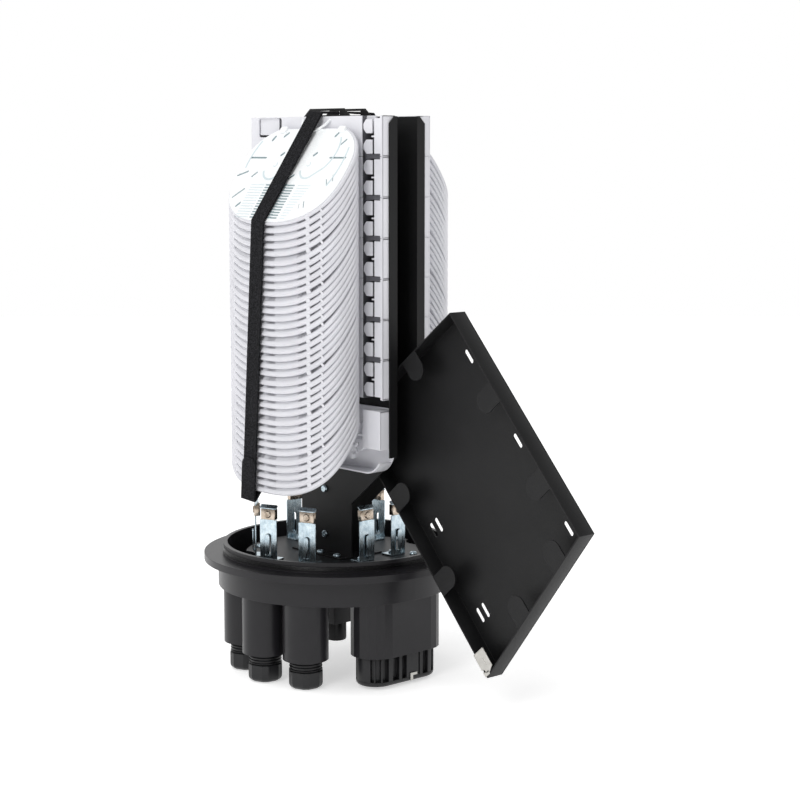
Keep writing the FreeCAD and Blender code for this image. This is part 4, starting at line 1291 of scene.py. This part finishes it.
@dataclass(frozen=True)
class Screws:
    """The pan head screws of the plate and the frame.

    Attributes:
        radius: A head's radius.
        tall: A head's height.
        post_circle: Distance of the plate's screws from the axis.
        posts: Bearings of the plate's screws from -Y towards +X.
        plate_top: Z of the plate's upper face.
        neck_centre: X of the frame's middle screw.
        foot_step: Distance of two foot screws.
        foot_depth: Distance of the foot screws from the middle plane.
        foot_top: Z of the feet's upper face.
        panel_face: Distance of the panels' faces from the middle plane.
        neck_heights: Z of the screws in the neck.
    """

    radius: float = 4.2
    tall: float = 2.6
    post_circle: float = 86.0
    posts: tuple[float, ...] = (-55, 15, 55, 125, 180, 235)
    plate_top: float = 124.8
    neck_centre: float = 1.7
    foot_step: float = 27.0
    foot_depth: float = 22.7
    foot_top: float = 126.3
    panel_face: float = 15.0
    neck_heights: tuple[float, ...] = (145.3, 194.7)

    def build(self, finishes: "Finishes") -> None:
        """Make the screws of the plate and the frame.

        Args:
            finishes: Hands out the materials.
        """
        zinc = finishes.get(Finish.ZINC_STEEL)
        plate = Shell()
        for number, bearing in enumerate(self.posts):
            place = spot(*around(bearing, self.post_circle), self.plate_top, 23.0 * number)
            screw_head(plate, place, self.radius, self.tall)
        plate.piece("plate_screw_heads", zinc, "zinc_steel", stands_for=("base_plate_screws",))
        feet = Shell()
        for side in (-1, 1):
            for step in (-1, 0, 1):
                place = spot(self.neck_centre + step * self.foot_step, side * self.foot_depth, self.foot_top,
                             17.0 * step + 40.0)
                screw_head(feet, place, self.radius, self.tall)
            for height in self.neck_heights:
                place = spot(0.0, side * self.panel_face, height, 0.0, 90.0 * -side)
                screw_head(feet, place, self.radius, self.tall)
        feet.piece("frame_screw_heads", zinc, "zinc_steel", stands_for=("frame_screws",))


@dataclass(frozen=True)
class Brackets:
    """The bent steel cable brackets with their clamps and screws.

    Attributes:
        spots: Bearing, distance and facing of each bracket.
        floor: Z of the plate that they stand on.
        half: Half of their width.
        tall: Height up to the lip's bend.
        thick: Thickness of the steel.
        foot: Length of the foot.
        notch: Depth of the notches.
        clamp_low: Height of the clamp's lower edge.
        clamp_tall: Height of the clamp.
        hole: Distance of the foot's screw from the upright.
        foot_screw: Radius and height of the foot screw's head.
        clamp_screw: Radius and height of the clamp screw's head.
        clamp_face: Distance of the clamp's face from the upright.
    """

    spots: tuple[tuple[float, float, float], ...] = (
        (-26, 89, -38), (-5, 87, 22), (26.5, 76, 22), (80, 66, 90), (118, 72, 92), (193, 80, 182),
        (264, 84, 268),
    )
    floor: float = 124.8
    half: float = 10.0
    tall: float = 56.5
    thick: float = 1.5
    foot: float = 16.0
    notch: float = 2.6
    clamp_low: float = 44.0
    clamp_tall: float = 11.8
    hole: float = 9.6
    foot_screw: tuple[float, float] = (4.2, 2.6)
    clamp_screw: tuple[float, float] = (3.9, 1.3)
    clamp_face: float = 0.8

    def build(self, finishes: "Finishes") -> None:
        """Make the brackets, clamps and screws.

        Args:
            finishes: Hands out the materials.
        """
        zinc, nickel = finishes.get(Finish.ZINC_STEEL), finishes.get(Finish.CLAMP_NICKEL)
        clamps, clamp_screws, foot_screws = Shell(), Shell(), Shell()
        for number, (bearing, distance, facing) in enumerate(self.spots, 1):
            x, y = around(bearing, distance)
            shell = Shell()
            self._bracket(shell, x, y, facing)
            shell.piece(f"bracket_{number}", zinc, "zinc_steel", stands_for=(f"cable_bracket_{number}",))
            self._clamp(clamps, x, y, facing)
            right, ahead = around(facing, self.clamp_face)
            middle = self.floor + self.clamp_low + self.clamp_tall / 2
            screw_head(clamp_screws, spot(x + right, y + ahead, middle, facing, 90.0), *self.clamp_screw)
            right, ahead = around(facing, -self.hole)
            seat = spot(x + right, y + ahead, self.floor + self.thick, 31.0 * number)
            screw_head(foot_screws, seat, *self.foot_screw)
        clamps.piece("clamps", nickel, "clamp_nickel", stands_for=("clamp_bands",))
        clamp_screws.piece("clamp_screw_heads", nickel, "clamp_nickel", stands_for=("clamp_screws",))
        foot_screws.piece("bracket_screw_heads", zinc, "zinc_steel", stands_for=("bracket_screws",))

    def _bracket(self, shell: Shell, x: float, y: float, facing: float) -> None:
        """Add one bracket's foot, upright, tongue and lip.

        Args:
            shell: The shell that takes it.
            x: Its place along X.
            y: Its place along Y.
            facing: Degrees that its front is turned from -Y.
        """
        upright = spot(x, y, self.floor, facing, 90.0)
        low, high, h = self.clamp_low, self.clamp_low + self.clamp_tall, self.half
        inner = h - self.notch
        outline = np.concatenate([
            [(-h, 0.3), (h, 0.3)], arc(h - 0.6, low - 0.6, 0.6, 0, 90, 4), [(inner, low), (inner, high)],
            [(h, high), (h, self.tall), (-h, self.tall), (-h, high), (-inner, high), (-inner, low)],
            arc(-h + 0.6, low - 0.6, 0.6, 90, 180, 4),
        ])
        shell.plate([outline, rounded(-3.0, 3.0, 5.0, 29.0, 2.9)], -self.thick, 0.0, 0.2, upright)
        shell.plate([rounded(-2.7, 2.7, 6.6, 28.8, 2.5)], 1.6, 2.8, 0.3, upright)
        root = np.array([[(-2.6, 3.8, 0.0), (2.6, 3.8, 0.0), (2.6, 5.2, -0.7), (-2.6, 5.2, -0.7)],
                         [(-2.6, 6.4, 2.8), (2.6, 6.4, 2.8), (2.6, 8.2, 1.65), (-2.6, 8.2, 1.65)]])
        shell.loft(root, upright)
        lip = spot(x, y, self.floor + self.tall - 0.1, facing, 45.0)
        bent = np.concatenate([[(-h, 0), (h, 0)], arc(h - 1.2, 3.7, 1.2, 0, 90, 4),
                               arc(-h + 1.2, 3.7, 1.2, 90, 180, 4)])
        shell.plate([bent], -1.06, 0.0, 0.25, lip)
        sole = [rounded(-h, h, 0.0, self.foot, 1.2), arc(0, self.hole, 2.3, 0, 345, 24)]
        shell.plate(sole, 0.02, self.thick, 0.2, spot(x, y, self.floor, facing))

    def _clamp(self, shell: Shell, x: float, y: float, facing: float) -> None:
        """Add the clamp box round a bracket's notched end.

        Args:
            shell: The shell that takes it.
            x: The bracket's place along X.
            y: The bracket's place along Y.
            facing: The bracket's facing.
        """
        upright = spot(x, y, self.floor + self.clamp_low + 0.3, facing)
        inner = self.half - self.notch + 0.3
        box = [rounded(-inner - 0.75, inner + 0.75, -0.75, 5.75, 0.9), rounded(-inner, inner, 0.02, 5.0, 0.3)]
        shell.plate(box, 0.0, self.clamp_tall - 0.6, 0.15, upright)
        for edge in (-1, 1):
            fold = rounded(edge * (inner + 0.4) - 0.4, edge * (inner + 0.4) + 0.4, 0.6, 5.0, 0.3, 3)
            shell.plate([fold], 2.2, self.clamp_tall - 2.8, 0.2, upright)


# The base's ports

@dataclass(frozen=True)
class Glands:
    """The round cable glands: threaded necks and cap nuts with alternate wide and narrow flats.

    Attributes:
        bearings: Bearings of the ports from -Y towards +X.
        circle: Distance of the ports from the axis.
        nut_radius: From a nut's axis to its corners.
        corner: Half of the angle of a narrow flat.
        nut_tall: Height of a nut.
        foot_tall: Height of the rounded foot.
        foot_in: How far the foot is drawn in.
        neck: Radius of the thread's crests.
        neck_low: Height of the neck's lower end.
        neck_top: Height of the thread's upper end.
        thread_low: Height of the thread's lower end.
        thread_deep: Depth of the thread.
        pitch: Pitch of the thread's rings.
        bore: Radius of the cable bore.
    """

    bearings: tuple[float, ...] = (-31.0, 0.0, 31.0, 164.5, 195.5)
    circle: float = 98.0
    nut_radius: float = 18.6
    corner: float = 11.0
    nut_tall: float = 18.9
    foot_tall: float = 7.0
    foot_in: float = 6.0
    neck: float = 17.3
    neck_low: float = 17.5
    neck_top: float = 30.3
    thread_low: float = 19.3
    thread_deep: float = 1.5
    pitch: float = 3.0
    bore: float = 8.0

    def build(self, finishes: "Finishes") -> None:
        """Make the nuts and necks.

        Args:
            finishes: Hands out the materials.
        """
        black = finishes.get(Finish.NUT_BLACK)
        nuts = Shell()
        for number, bearing in enumerate(self.bearings, 1):
            place = spot(*around(bearing, self.circle), 0.0, 21.0)
            nuts.loft(self._nut(), place, caps=False)
            neck = Shell().turned(self._thread(), place, 56)
            neck.piece(f"gland_neck_{number}", black, "moulded_black", stands_for=(f"port_gland_{number}",),
                       sharp=50.0)
        nuts.piece("cap_nuts", black, "moulded_black", stands_for=("gland_nuts",), sharp=17.0)

    def _nut(self) -> np.ndarray:
        """Give a nut's rings from the bore over the rounded foot and the flats back to the bore.

        A ring has twelve corners, in pairs that are a narrow flat apart.

        Returns:
            Points of shape (rings, points, 3).
        """
        turn = np.radians([base + sign * self.corner for base in range(0, 360, 60) for sign in (-1, 1)])
        ring = np.stack([np.cos(turn), np.sin(turn)], -1)
        profile = [(self.bore, 1.2), (self.bore, 0.4)]
        for share in np.linspace(0.0, 1.0, 6):
            inward = self.foot_in * (1 - math.sin(share * math.pi / 2)) ** 1.1
            profile.append((self.nut_radius - inward, self.foot_tall * share ** 1.5))
        profile += [(self.nut_radius, self.nut_tall - 0.5), (self.nut_radius - 0.5, self.nut_tall),
                    (self.bore, self.nut_tall)]
        return np.stack([level(ring * radius, height) for radius, height in profile])

    def _thread(self) -> list[tuple[float, float]]:
        """Give the neck's profile with its thread rings.

        Returns:
            Radius and height of each point.
        """
        root = self.neck - self.thread_deep
        profile = [(root, self.neck_low)]
        height = self.thread_low
        while height < self.neck_top - 1.2:
            profile += [(root, height), (self.neck, height + 0.55), (self.neck, height + 1.25),
                        (root, height + 1.9)]
            height += self.pitch
        return profile + [(root, self.neck_top + 0.2)]


@dataclass(frozen=True)
class SealRing:
    """The rubber ring in the collar's groove, with three round lips.

    Attributes:
        inner: Its inner radius.
        outer: Radius of the lips.
        low: Z of its underside.
        tall: Its height.
        lips: How many lips it has.
        dip: Depth between two lips.
    """

    inner: float = 118.7
    outer: float = 122.0
    low: float = 129.15
    tall: float = 3.7
    lips: int = 3
    dip: float = 0.9

    def build(self, finishes: "Finishes") -> None:
        """Make the ring: a face of half sine waves, one to a lip, turned about the axis.

        Args:
            finishes: Hands out the materials.
        """
        way = np.linspace(0.0, 1.0, 10 * self.lips + 1)
        radius = self.outer - self.dip * (1 - np.abs(np.sin(way * self.lips * np.pi)))
        face = np.stack([radius, self.low + way * self.tall], -1)
        profile = np.concatenate([[(self.inner, self.low)], face, [(self.inner, self.low + self.tall)]])
        shell = Shell().turned(profile, spot(), 160, closed=True)
        shell.piece("seal_ring", finishes.get(Finish.SEAL_RUBBER), "seal_rubber", stands_for=("flange_seal",),
                    sharp=60.0)


@dataclass(frozen=True)
class StrapFlap:
    """The end of the hook and loop tape, pressed onto the front run.

    Attributes:
        side: "front" or "rear".
        wide: Its width.
        tall: Its length.
        thick: Its thickness.
        low: Z of its lower end.
        centre: X of the tape's middle at the pivot height.
        lean: Degrees that the tape leans.
        pivot: Z about which the tape leans.
        corner: Radius of the upper end's corners.
    """

    side: str
    wide: float = 23.0
    tall: float = 46.0
    thick: float = 1.2
    low: float = 191.0
    centre: float = 6.0
    lean: float = 3.9
    pivot: float = 484.3
    corner: float = 8.5

    def build(self, finishes: "Finishes") -> None:
        """Make the flap with its round upper end.

        Args:
            finishes: Hands out the materials.
        """
        low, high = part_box(f"{self.side}_strap")
        face = abs(low[1] if self.side == "front" else high[1]) / MM
        half, r = self.wide / 2, self.corner
        outline = np.concatenate([[(-half, 0), (half, 0)], arc(half - r, self.tall - r, r, 0, 90, 8),
                                  arc(r - half, self.tall - r, r, 90, 180, 8)])
        lean = np.array(Matrix.Rotation(math.radians(self.lean), 4, "Y"))
        place = spot(self.centre, 0.0, self.pivot) @ lean @ spot(0.0, -face, self.low - self.pivot, 0.0, 90.0)
        if self.side == "rear":
            place = spot(2 * PANEL_CENTRE, turn=180.0) @ place
        shell = Shell().plate([outline], -0.6, self.thick, 0.5, place)
        shell.piece(f"{self.side}_strap_flap", finishes.get(Finish.STRAP_FABRIC), "strap_fabric")


@dataclass(frozen=True)
class OvalPlug:
    """The slotted plug under the oval port, with its steel hook.

    Attributes:
        centre: X of its middle.
        half: Half of the straight part's length.
        radius: Radius of its ends.
        low: Z of its underside.
        rim: Z of the slots' lower ends.
        high: Z of its upper end.
        deep: Depth of the slots.
        slots: Ranges of the slots along each side, from its middle.
    """

    centre: float = 96.0
    half: float = 27.0
    radius: float = 20.7
    low: float = 2.8
    rim: float = 7.6
    high: float = 36.0
    deep: float = 4.2
    slots: tuple[tuple[float, float], ...] = (
        (-47.5, -43.6), (-42.2, -36.4), (-34.6, -27.0), (-21.3, -12.6), (-8.6, -2.2), (14.6, 16.4),
        (20.6, 27.6), (33.6, 43.0), (47.0, 52.0),
    )

    def build(self, finishes: "Finishes") -> None:
        """Make the plug and the hook.

        Args:
            finishes: Hands out the materials.
        """
        shell = Shell().plate([self._outline(notched=True)], self.rim - 0.4, self.high, 0.35)
        top = self.rim - self.low + 0.5
        rounding = [(4.4, 0.0), (2.6, 0.35), (1.3, 1.1), (0.4, 2.3), (0.0, 3.8), (0.0, top), (3.0, top)]
        rings = [(inset, self.low + rise) for inset, rise in rounding]
        shell.loft(drawn_in(self._outline(notched=False), rings))
        shell.piece("oval_plug", finishes.get(Finish.NUT_BLACK), "plug_black", stands_for=("oval_port_seal",),
                    sharp=40.0)
        bent = np.array([(2.6, 4.0), (6.2, 4.0), (6.2, 9.4), (12.0, 9.4), (12.0, 12.2), (2.6, 12.2)])
        hook = Shell().plate([bent], 0.15, 1.1, 0.2, spot(self.centre + self.radius, 0.0, 0.0, 90.0, 90.0))
        hook.piece("oval_hook", finishes.get(Finish.SPRING_STEEL), "spring_steel",
                   stands_for=("oval_seal_clip",))

    def _outline(self, notched: bool) -> np.ndarray:
        """Give the plug's outline: two straight runs and two half circles, stepped evenly along the way.

        Args:
            notched: Whether the slots are cut into it.

        Returns:
            The closed outline.
        """
        span = self.half + self.radius * math.radians(90)
        way = np.linspace(-span, span, 560)
        straight = np.clip(way, -self.half, self.half)
        angle = (way - straight) / self.radius
        x = self.centre + self.radius * np.cos(angle)
        y = straight + self.radius * np.sin(angle)
        if notched:
            low, high = np.array(self.slots).T[..., None]
            depth = np.where(((way > low) & (way < high)).any(0), self.deep, 0.0)
            x, y = x - depth * np.cos(angle), y - depth * np.sin(angle)
        right = np.stack([x, y], -1)
        left = np.stack([2 * self.centre - x, -y], -1)
        return np.concatenate([right, left])


@dataclass(frozen=True)
class Valve:
    """The round test valve under the middle of the base.

    Attributes:
        radius: Its radius.
        low: Z of its lower end.
        high: Z of its upper end.
    """

    radius: float = 11.0
    low: float = 26.3
    high: float = 47.3

    def build(self, finishes: "Finishes") -> None:
        """Make the valve.

        Args:
            finishes: Hands out the materials.
        """
        profile = [(self.radius - 2.0, self.low), (self.radius - 0.6, self.low + 0.5),
                   (self.radius, self.low + 1.8), (self.radius, self.high)]
        shell = Shell().turned(profile, spot(), 48)
        shell.piece("valve_cap", finishes.get(Finish.VALVE_BLACK), "valve_black", stands_for=("test_valve",))


# The basket

@dataclass(frozen=True)
class Basket:
    """The folded sheet basket in its own plane: A along the long wall, B across, N towards the viewer.

    Attributes:
        corner: X and Z of its upper left corner.
        lean: Degrees that the long wall slopes down.
        long: Length of the near long wall.
        short: Length of the far long wall.
        wide: Distance of the long walls.
        taper: Slope of the far end wall.
        deep: Height of the walls.
        sheet: Thickness of the sheet.
        pivot: X and Z of the hinge's axis.
        eye: Outer and inner radius of the hinge's eye, and half its length.
        keeper: Radius of the keeper tabs.
        keeper_span: Angle of a tab's round edge in degrees.
        side_tabs: Places of the tabs along the long walls.
        far_tabs: Places of the tabs across the lower end wall.
        near_tab: Place of the tab across the upper end wall.
        side_reach: From a long wall to the middle of a tab's round edge.
        end_reach: From an end wall to the middle of a tab's round edge.
        root: How far a tab's corners lie inside the wall's outer face.
        ties: Place of the first tie slot along the floor, and the step to the next.
        tie_rows: Places of the rows of tie slots across the floor.
        tie: Half the length and half the width of a tie slot.
    """

    corner: tuple[float, float] = (33.0, 272.8)
    lean: float = 48.2
    long: float = 317.5
    short: float = 265.5
    wide: float = 198.0
    taper: float = 11.4
    deep: float = 21.2
    sheet: float = 1.5
    pivot: tuple[float, float] = (76.0, 272.8)
    eye: tuple[float, float, float] = (7.0, 4.2, 13.2)
    keeper: float = 12.0
    keeper_span: float = 204.0
    side_tabs: tuple[float, ...] = (108.0, 210.0)
    far_tabs: tuple[float, ...] = (82.0, 158.0)
    near_tab: float = 120.0
    side_reach: float = 17.5
    end_reach: float = 16.0
    root: float = 0.2
    ties: tuple[float, float] = (50.0, 103.0)
    tie_rows: tuple[float, ...] = (174.0, 14.0, 23.8)
    tie: tuple[float, float] = (8.0, 2.3)

    def place(self) -> np.ndarray:
        """Give the placement of the basket's plane.

        Returns:
            The placement.
        """
        c, s = math.cos(math.radians(self.lean)), math.sin(math.radians(self.lean))
        place = np.eye(4)
        place[:3, 0] = (c, 0, -s)
        place[:3, 1] = (s, 0, c)
        place[:3, 2] = (0, -1, 0)
        place[:3, 3] = (self.corner[0], 0, self.corner[1])
        return place

    def near(self, b: float) -> float:
        """Say where along the basket its upper end wall lies, at a place across it."""
        slope = math.tan(math.radians(self.taper))
        return (self.long - self.short - self.wide * slope) * b / self.wide

    def far(self, b: float) -> float:
        """Say where along the basket its lower end wall lies, at a place across it."""
        return self.long - b * math.tan(math.radians(self.taper))

    def build(self, finishes: "Finishes") -> None:
        """Make the basket and its clip.

        Args:
            finishes: Hands out the materials.
        """
        shell, place, half, sheet, wide = Shell(), self.place(), self.deep / 2, self.sheet, self.wide
        corners = [(self.near(0), 0), (self.far(0), 0), (self.far(wide), wide), (self.near(wide), wide)]
        floor = np.array([self._pulled(corners, i, 0.0) for i in range(4)])
        shell.plate([floor, *self._tie_slots()], -half, -half + sheet, 0.3, place)
        inner = np.array([self._pulled(corners, i, sheet) for i in range(4)])
        shell.plate([floor, inner], -half + 0.1, half, 0.35, place)
        for outline in self._keepers():
            shell.plate([outline], half - sheet, half - 0.02, 0.25, place)
        outer, bore, reach = self.eye
        shell.turned([(outer, 0.0), (outer, 2 * reach), (bore, 2 * reach), (bore, 0.0)],
                     spot(self.pivot[0], reach, self.pivot[1], 0.0, 90.0), 40, closed=True)
        shell.piece("tube_basket", finishes.get(Finish.POWDER_COAT), "powder_coat", "basket", ("basket",))
        self._clip(finishes)

    def _pulled(self, corners: list[tuple[float, float]], index: int, inset: float) -> tuple[float, float]:
        """Draw one corner of the outline in.

        Args:
            corners: The four corners, anticlockwise.
            index: The corner's number.
            inset: The distance from both walls.

        Returns:
            The moved corner.
        """
        before, here, after = (np.array(corners[(index + k) % 4], float) for k in (-1, 0, 1))
        a, b = (here - before) / np.linalg.norm(here - before), (after - here) / np.linalg.norm(after - here)
        bend = a[0] * b[1] - a[1] * b[0]
        return tuple(here + (b - a) * inset / bend)

    def _keepers(self) -> list[np.ndarray]:
        """List the outlines of the round keeper tabs.

        Returns:
            Closed outlines.
        """
        r, wide, far, near, root = self.keeper, self.wide, self.far, self.near, self.root
        outlines = []
        for middle in self.side_tabs:
            left, right = middle - r, middle + r
            outlines.append(self._tab([(left, root), (right, root)], middle, self.side_reach, 0))
            outlines.append(self._tab([(right, wide - root), (left, wide - root)], middle,
                                      wide - self.side_reach, 180))
        for middle in self.far_tabs:
            low, high = middle - r, middle + r
            outlines.append(self._tab([(far(low) - root, low), (far(high) - root, high)],
                                      far(middle) - self.end_reach, middle, 90))
        middle = self.near_tab
        low, high = middle - r, middle + r
        outlines.append(self._tab([(near(high) + root, high), (near(low) + root, low)],
                                  near(middle) + self.end_reach, middle, -90))
        return outlines

    def _tab(self, corners: list[tuple[float, float]], x: float, y: float, turn: float) -> np.ndarray:
        """Give a turned keeper tab's outline: two corners on the wall, and a round edge about (x, y)."""
        start = turn - (self.keeper_span - 180) / 2
        return np.concatenate([corners, arc(x, y, self.keeper, start, start + self.keeper_span, 22)])

    def _tie_slots(self) -> list[np.ndarray]:
        """List the closed outlines of the cable tie slots in the floor, three to a row."""
        (first, step), (length, width) = self.ties, self.tie
        middles = [(first + step * count, row) for row in self.tie_rows for count in range(3)]
        return [rounded(x - length, x + length, y - width, y + width, 2.2, 6) for x, y in middles]

    def _clip(self, finishes: "Finishes") -> None:
        """Make the spring clip at the lowest corner.

        Args:
            finishes: Hands out the materials.
        """
        shell, place, edge = Shell(), self.place(), self.deep / 2
        leaf = np.array([(291.0, -0.6), (308.5, -0.6), (309.5, 3.2), (313.6, 4.0), (314.2, 9.0),
                         (311.0, 16.0), (291.6, 16.0)])
        dimple = rounded(298.4, 306.6, 9.0, 10.2, 0.5, 4)
        shell.plate([leaf, dimple], edge + 0.1, edge + 1.0, 0.2, place)
        shell.plate([rounded(298.2, 306.8, 8.8, 10.4, 0.5, 4)], edge - 0.1, edge + 0.5, 0.1, place)
        shell.plate([rounded(290.2, 292.4, -0.6, 15.6, 0.9, 5)], edge - 1.2, edge + 0.95, 0.4, place)
        shell.plate([rounded(290.5, 308.2, -0.95, 0.0, 0.3, 3)], edge - 12.6, edge + 0.9, 0.2, place)
        foot = np.array([(310.6, -0.6), (316.0, -0.6), (316.0, 7.0), (314.4, 8.2), (312.4, 8.2),
                         (312.0, 1.4), (310.6, 1.2)])
        shell.plate([foot], edge + 0.1, edge + 1.0, 0.25, place)
        shell.piece("spring_clip", finishes.get(Finish.SPRING_STEEL), "spring_steel", "basket",
                    ("basket_clip",))


# The studio

@dataclass(frozen=True)
class Studio:
    """Floor, lights and camera, in metres and watts.

    Attributes:
        camera_place: Camera's place.
        azimuth: Degrees that the view is turned from +Y towards -X.
        down: Degrees that the view looks down.
        lens: Focal length in mm on a 36 mm sensor.
        lamps: Name, place, side and power of each lamp.
        aim: The point that the lamps face.
        floor_half: Half of the floor's side.
        floor_glow: Strength of the floor's own light.
        wall_away: Distance of the backdrop from the axis.
        world_light: Strength of the light from all sides.
    """

    camera_place: tuple[float, float, float] = (1.5326, -1.2860, 0.5573)
    azimuth: float = 48.01
    down: float = 7.64
    lens: float = 84.64
    lamps: tuple[tuple[str, tuple[float, float, float], float, float], ...] = (
        ("key", (0.9, -2.2, 1.6), 0.9, 15.0),
        ("fill", (-1.9, -1.3, 1.1), 1.0, 2.5),
        ("right", (2.3, 0.5, 1.1), 1.0, 2.5),
        ("top", (0.0, -0.8, 2.3), 1.1, 15.0),
    )
    aim: tuple[float, float, float] = (0.05, 0.0, 0.3)
    floor_half: float = 40.0
    floor_glow: float = 0.5
    wall_away: float = 4.2
    world_light: float = 0.43

    def build(self) -> None:
        """Make the floor, the lights and the camera."""
        self.floor()
        self.backdrop()
        self.world()
        for lamp in self.lamps:
            self.lamp(*lamp)
        self.camera()

    def sheet(self, name: str, corners: list[tuple[float, float, float]]) -> Object:
        """Make a flat sheet.

        Args:
            name: The object's name.
            corners: Its four corners.

        Returns:
            The object.
        """
        mesh = bpy.data.meshes.new(name)
        mesh.from_pydata(corners, [], [(0, 1, 2, 3)])
        return placed(name, mesh)

    def floor(self) -> None:
        """Make a plain pale floor."""
        half = self.floor_half
        floor = self.sheet("floor", [(-half, -half, 0), (half, -half, 0), (half, half, 0), (-half, half, 0)])
        material, tree, place = new_tree("pale_floor")
        tone = tint(tree, noise(tree, place, 0.02), "#fafafa", "#fdfdfd")
        surface(tree, {"Base Color": tone}, Roughness=0.9, Specular_IOR_Level=0.1,
                Emission_Color=WHITE, Emission_Strength=self.floor_glow)
        floor.data.materials.append(material)

    def backdrop(self) -> None:
        """Make the white studio wall behind the object."""
        wall = self.sheet("backdrop", [(-6, 0, -0.5), (6, 0, -0.5), (6, 0, 7), (-6, 0, 7)])
        angle = math.radians(self.azimuth)
        wall.location = (-self.wall_away * math.sin(angle), self.wall_away * math.cos(angle), 0.0)
        wall.rotation_euler = (0.0, 0.0, angle)
        material, tree, _ = new_tree("white_wall")
        glow = add_node(tree, "Emission", Color=WHITE, Strength=1.0)
        add_node(tree, "OutputMaterial", {"Surface": glow.outputs["Emission"]})
        wall.data.materials.append(material)

    def world(self) -> None:
        """Light the scene softly from all sides with white."""
        world = bpy.data.worlds.new("studio")
        world.use_nodes = True
        back = world.node_tree.nodes["Background"]
        back.inputs["Color"].default_value = WHITE
        back.inputs["Strength"].default_value = self.world_light
        bpy.context.scene.world = world

    def lamp(self, name: str, place: tuple[float, float, float], size: float, power: float) -> None:
        """Add a soft square lamp that faces the middle of the object.

        Args:
            name: The lamp's name.
            place: Where it stands, in metres.
            size: Side of the lamp in metres.
            power: Power in watts.
        """
        light = bpy.data.lights.new(name, "AREA")
        light.size = size
        light.energy = power
        lamp = placed(name, light)
        aim = np.array(self.aim) - np.array(place)
        lamp.location = place
        lamp.rotation_euler = (
            math.atan2(math.hypot(aim[0], aim[1]), -aim[2]),
            0.0,
            math.atan2(aim[1], aim[0]) - math.pi / 2,
        )

    def camera(self) -> None:
        """Put the camera at the photograph's viewpoint."""
        data = bpy.data.cameras.new("camera")
        data.lens = self.lens
        data.sensor_width = 36.0
        data.clip_end = 30.0
        camera = placed("camera", data)
        camera.location = self.camera_place
        camera.rotation_euler = (math.radians(90 - self.down), 0.0, math.radians(self.azimuth))
        bpy.context.scene.camera = camera
        bpy.context.scene.view_settings.view_transform = "Standard"


def main() -> None:
    """Dress the frame, add the detailed pieces and set up the studio."""
    logging.basicConfig(level=logging.INFO)
    Studio().build()
    finishes = Finishes()
    finishes.dress_frame(frame["record"])
    LOG.info("frame dressed")
    for side in ("front", "rear"):
        stack = TrayStack(side)
        stack.build(finishes)
        TrayCover(stack).build(finishes)
        plate = GroovePlate(side)
        plate.build(finishes)
        Organizer(plate).build(finishes)
    LOG.info("trays and their modules done")
    Screws().build(finishes)
    Brackets().build(finishes)
    Glands().build(finishes)
    OvalPlug().build(finishes)
    Valve().build(finishes)
    SealRing().build(finishes)
    for side in ("front", "rear"):
        StrapFlap(side).build(finishes)
    LOG.info("base's fittings done")
    Basket().build(finishes)
    LOG.info("basket done")


if __name__ == "__main__":
    main()
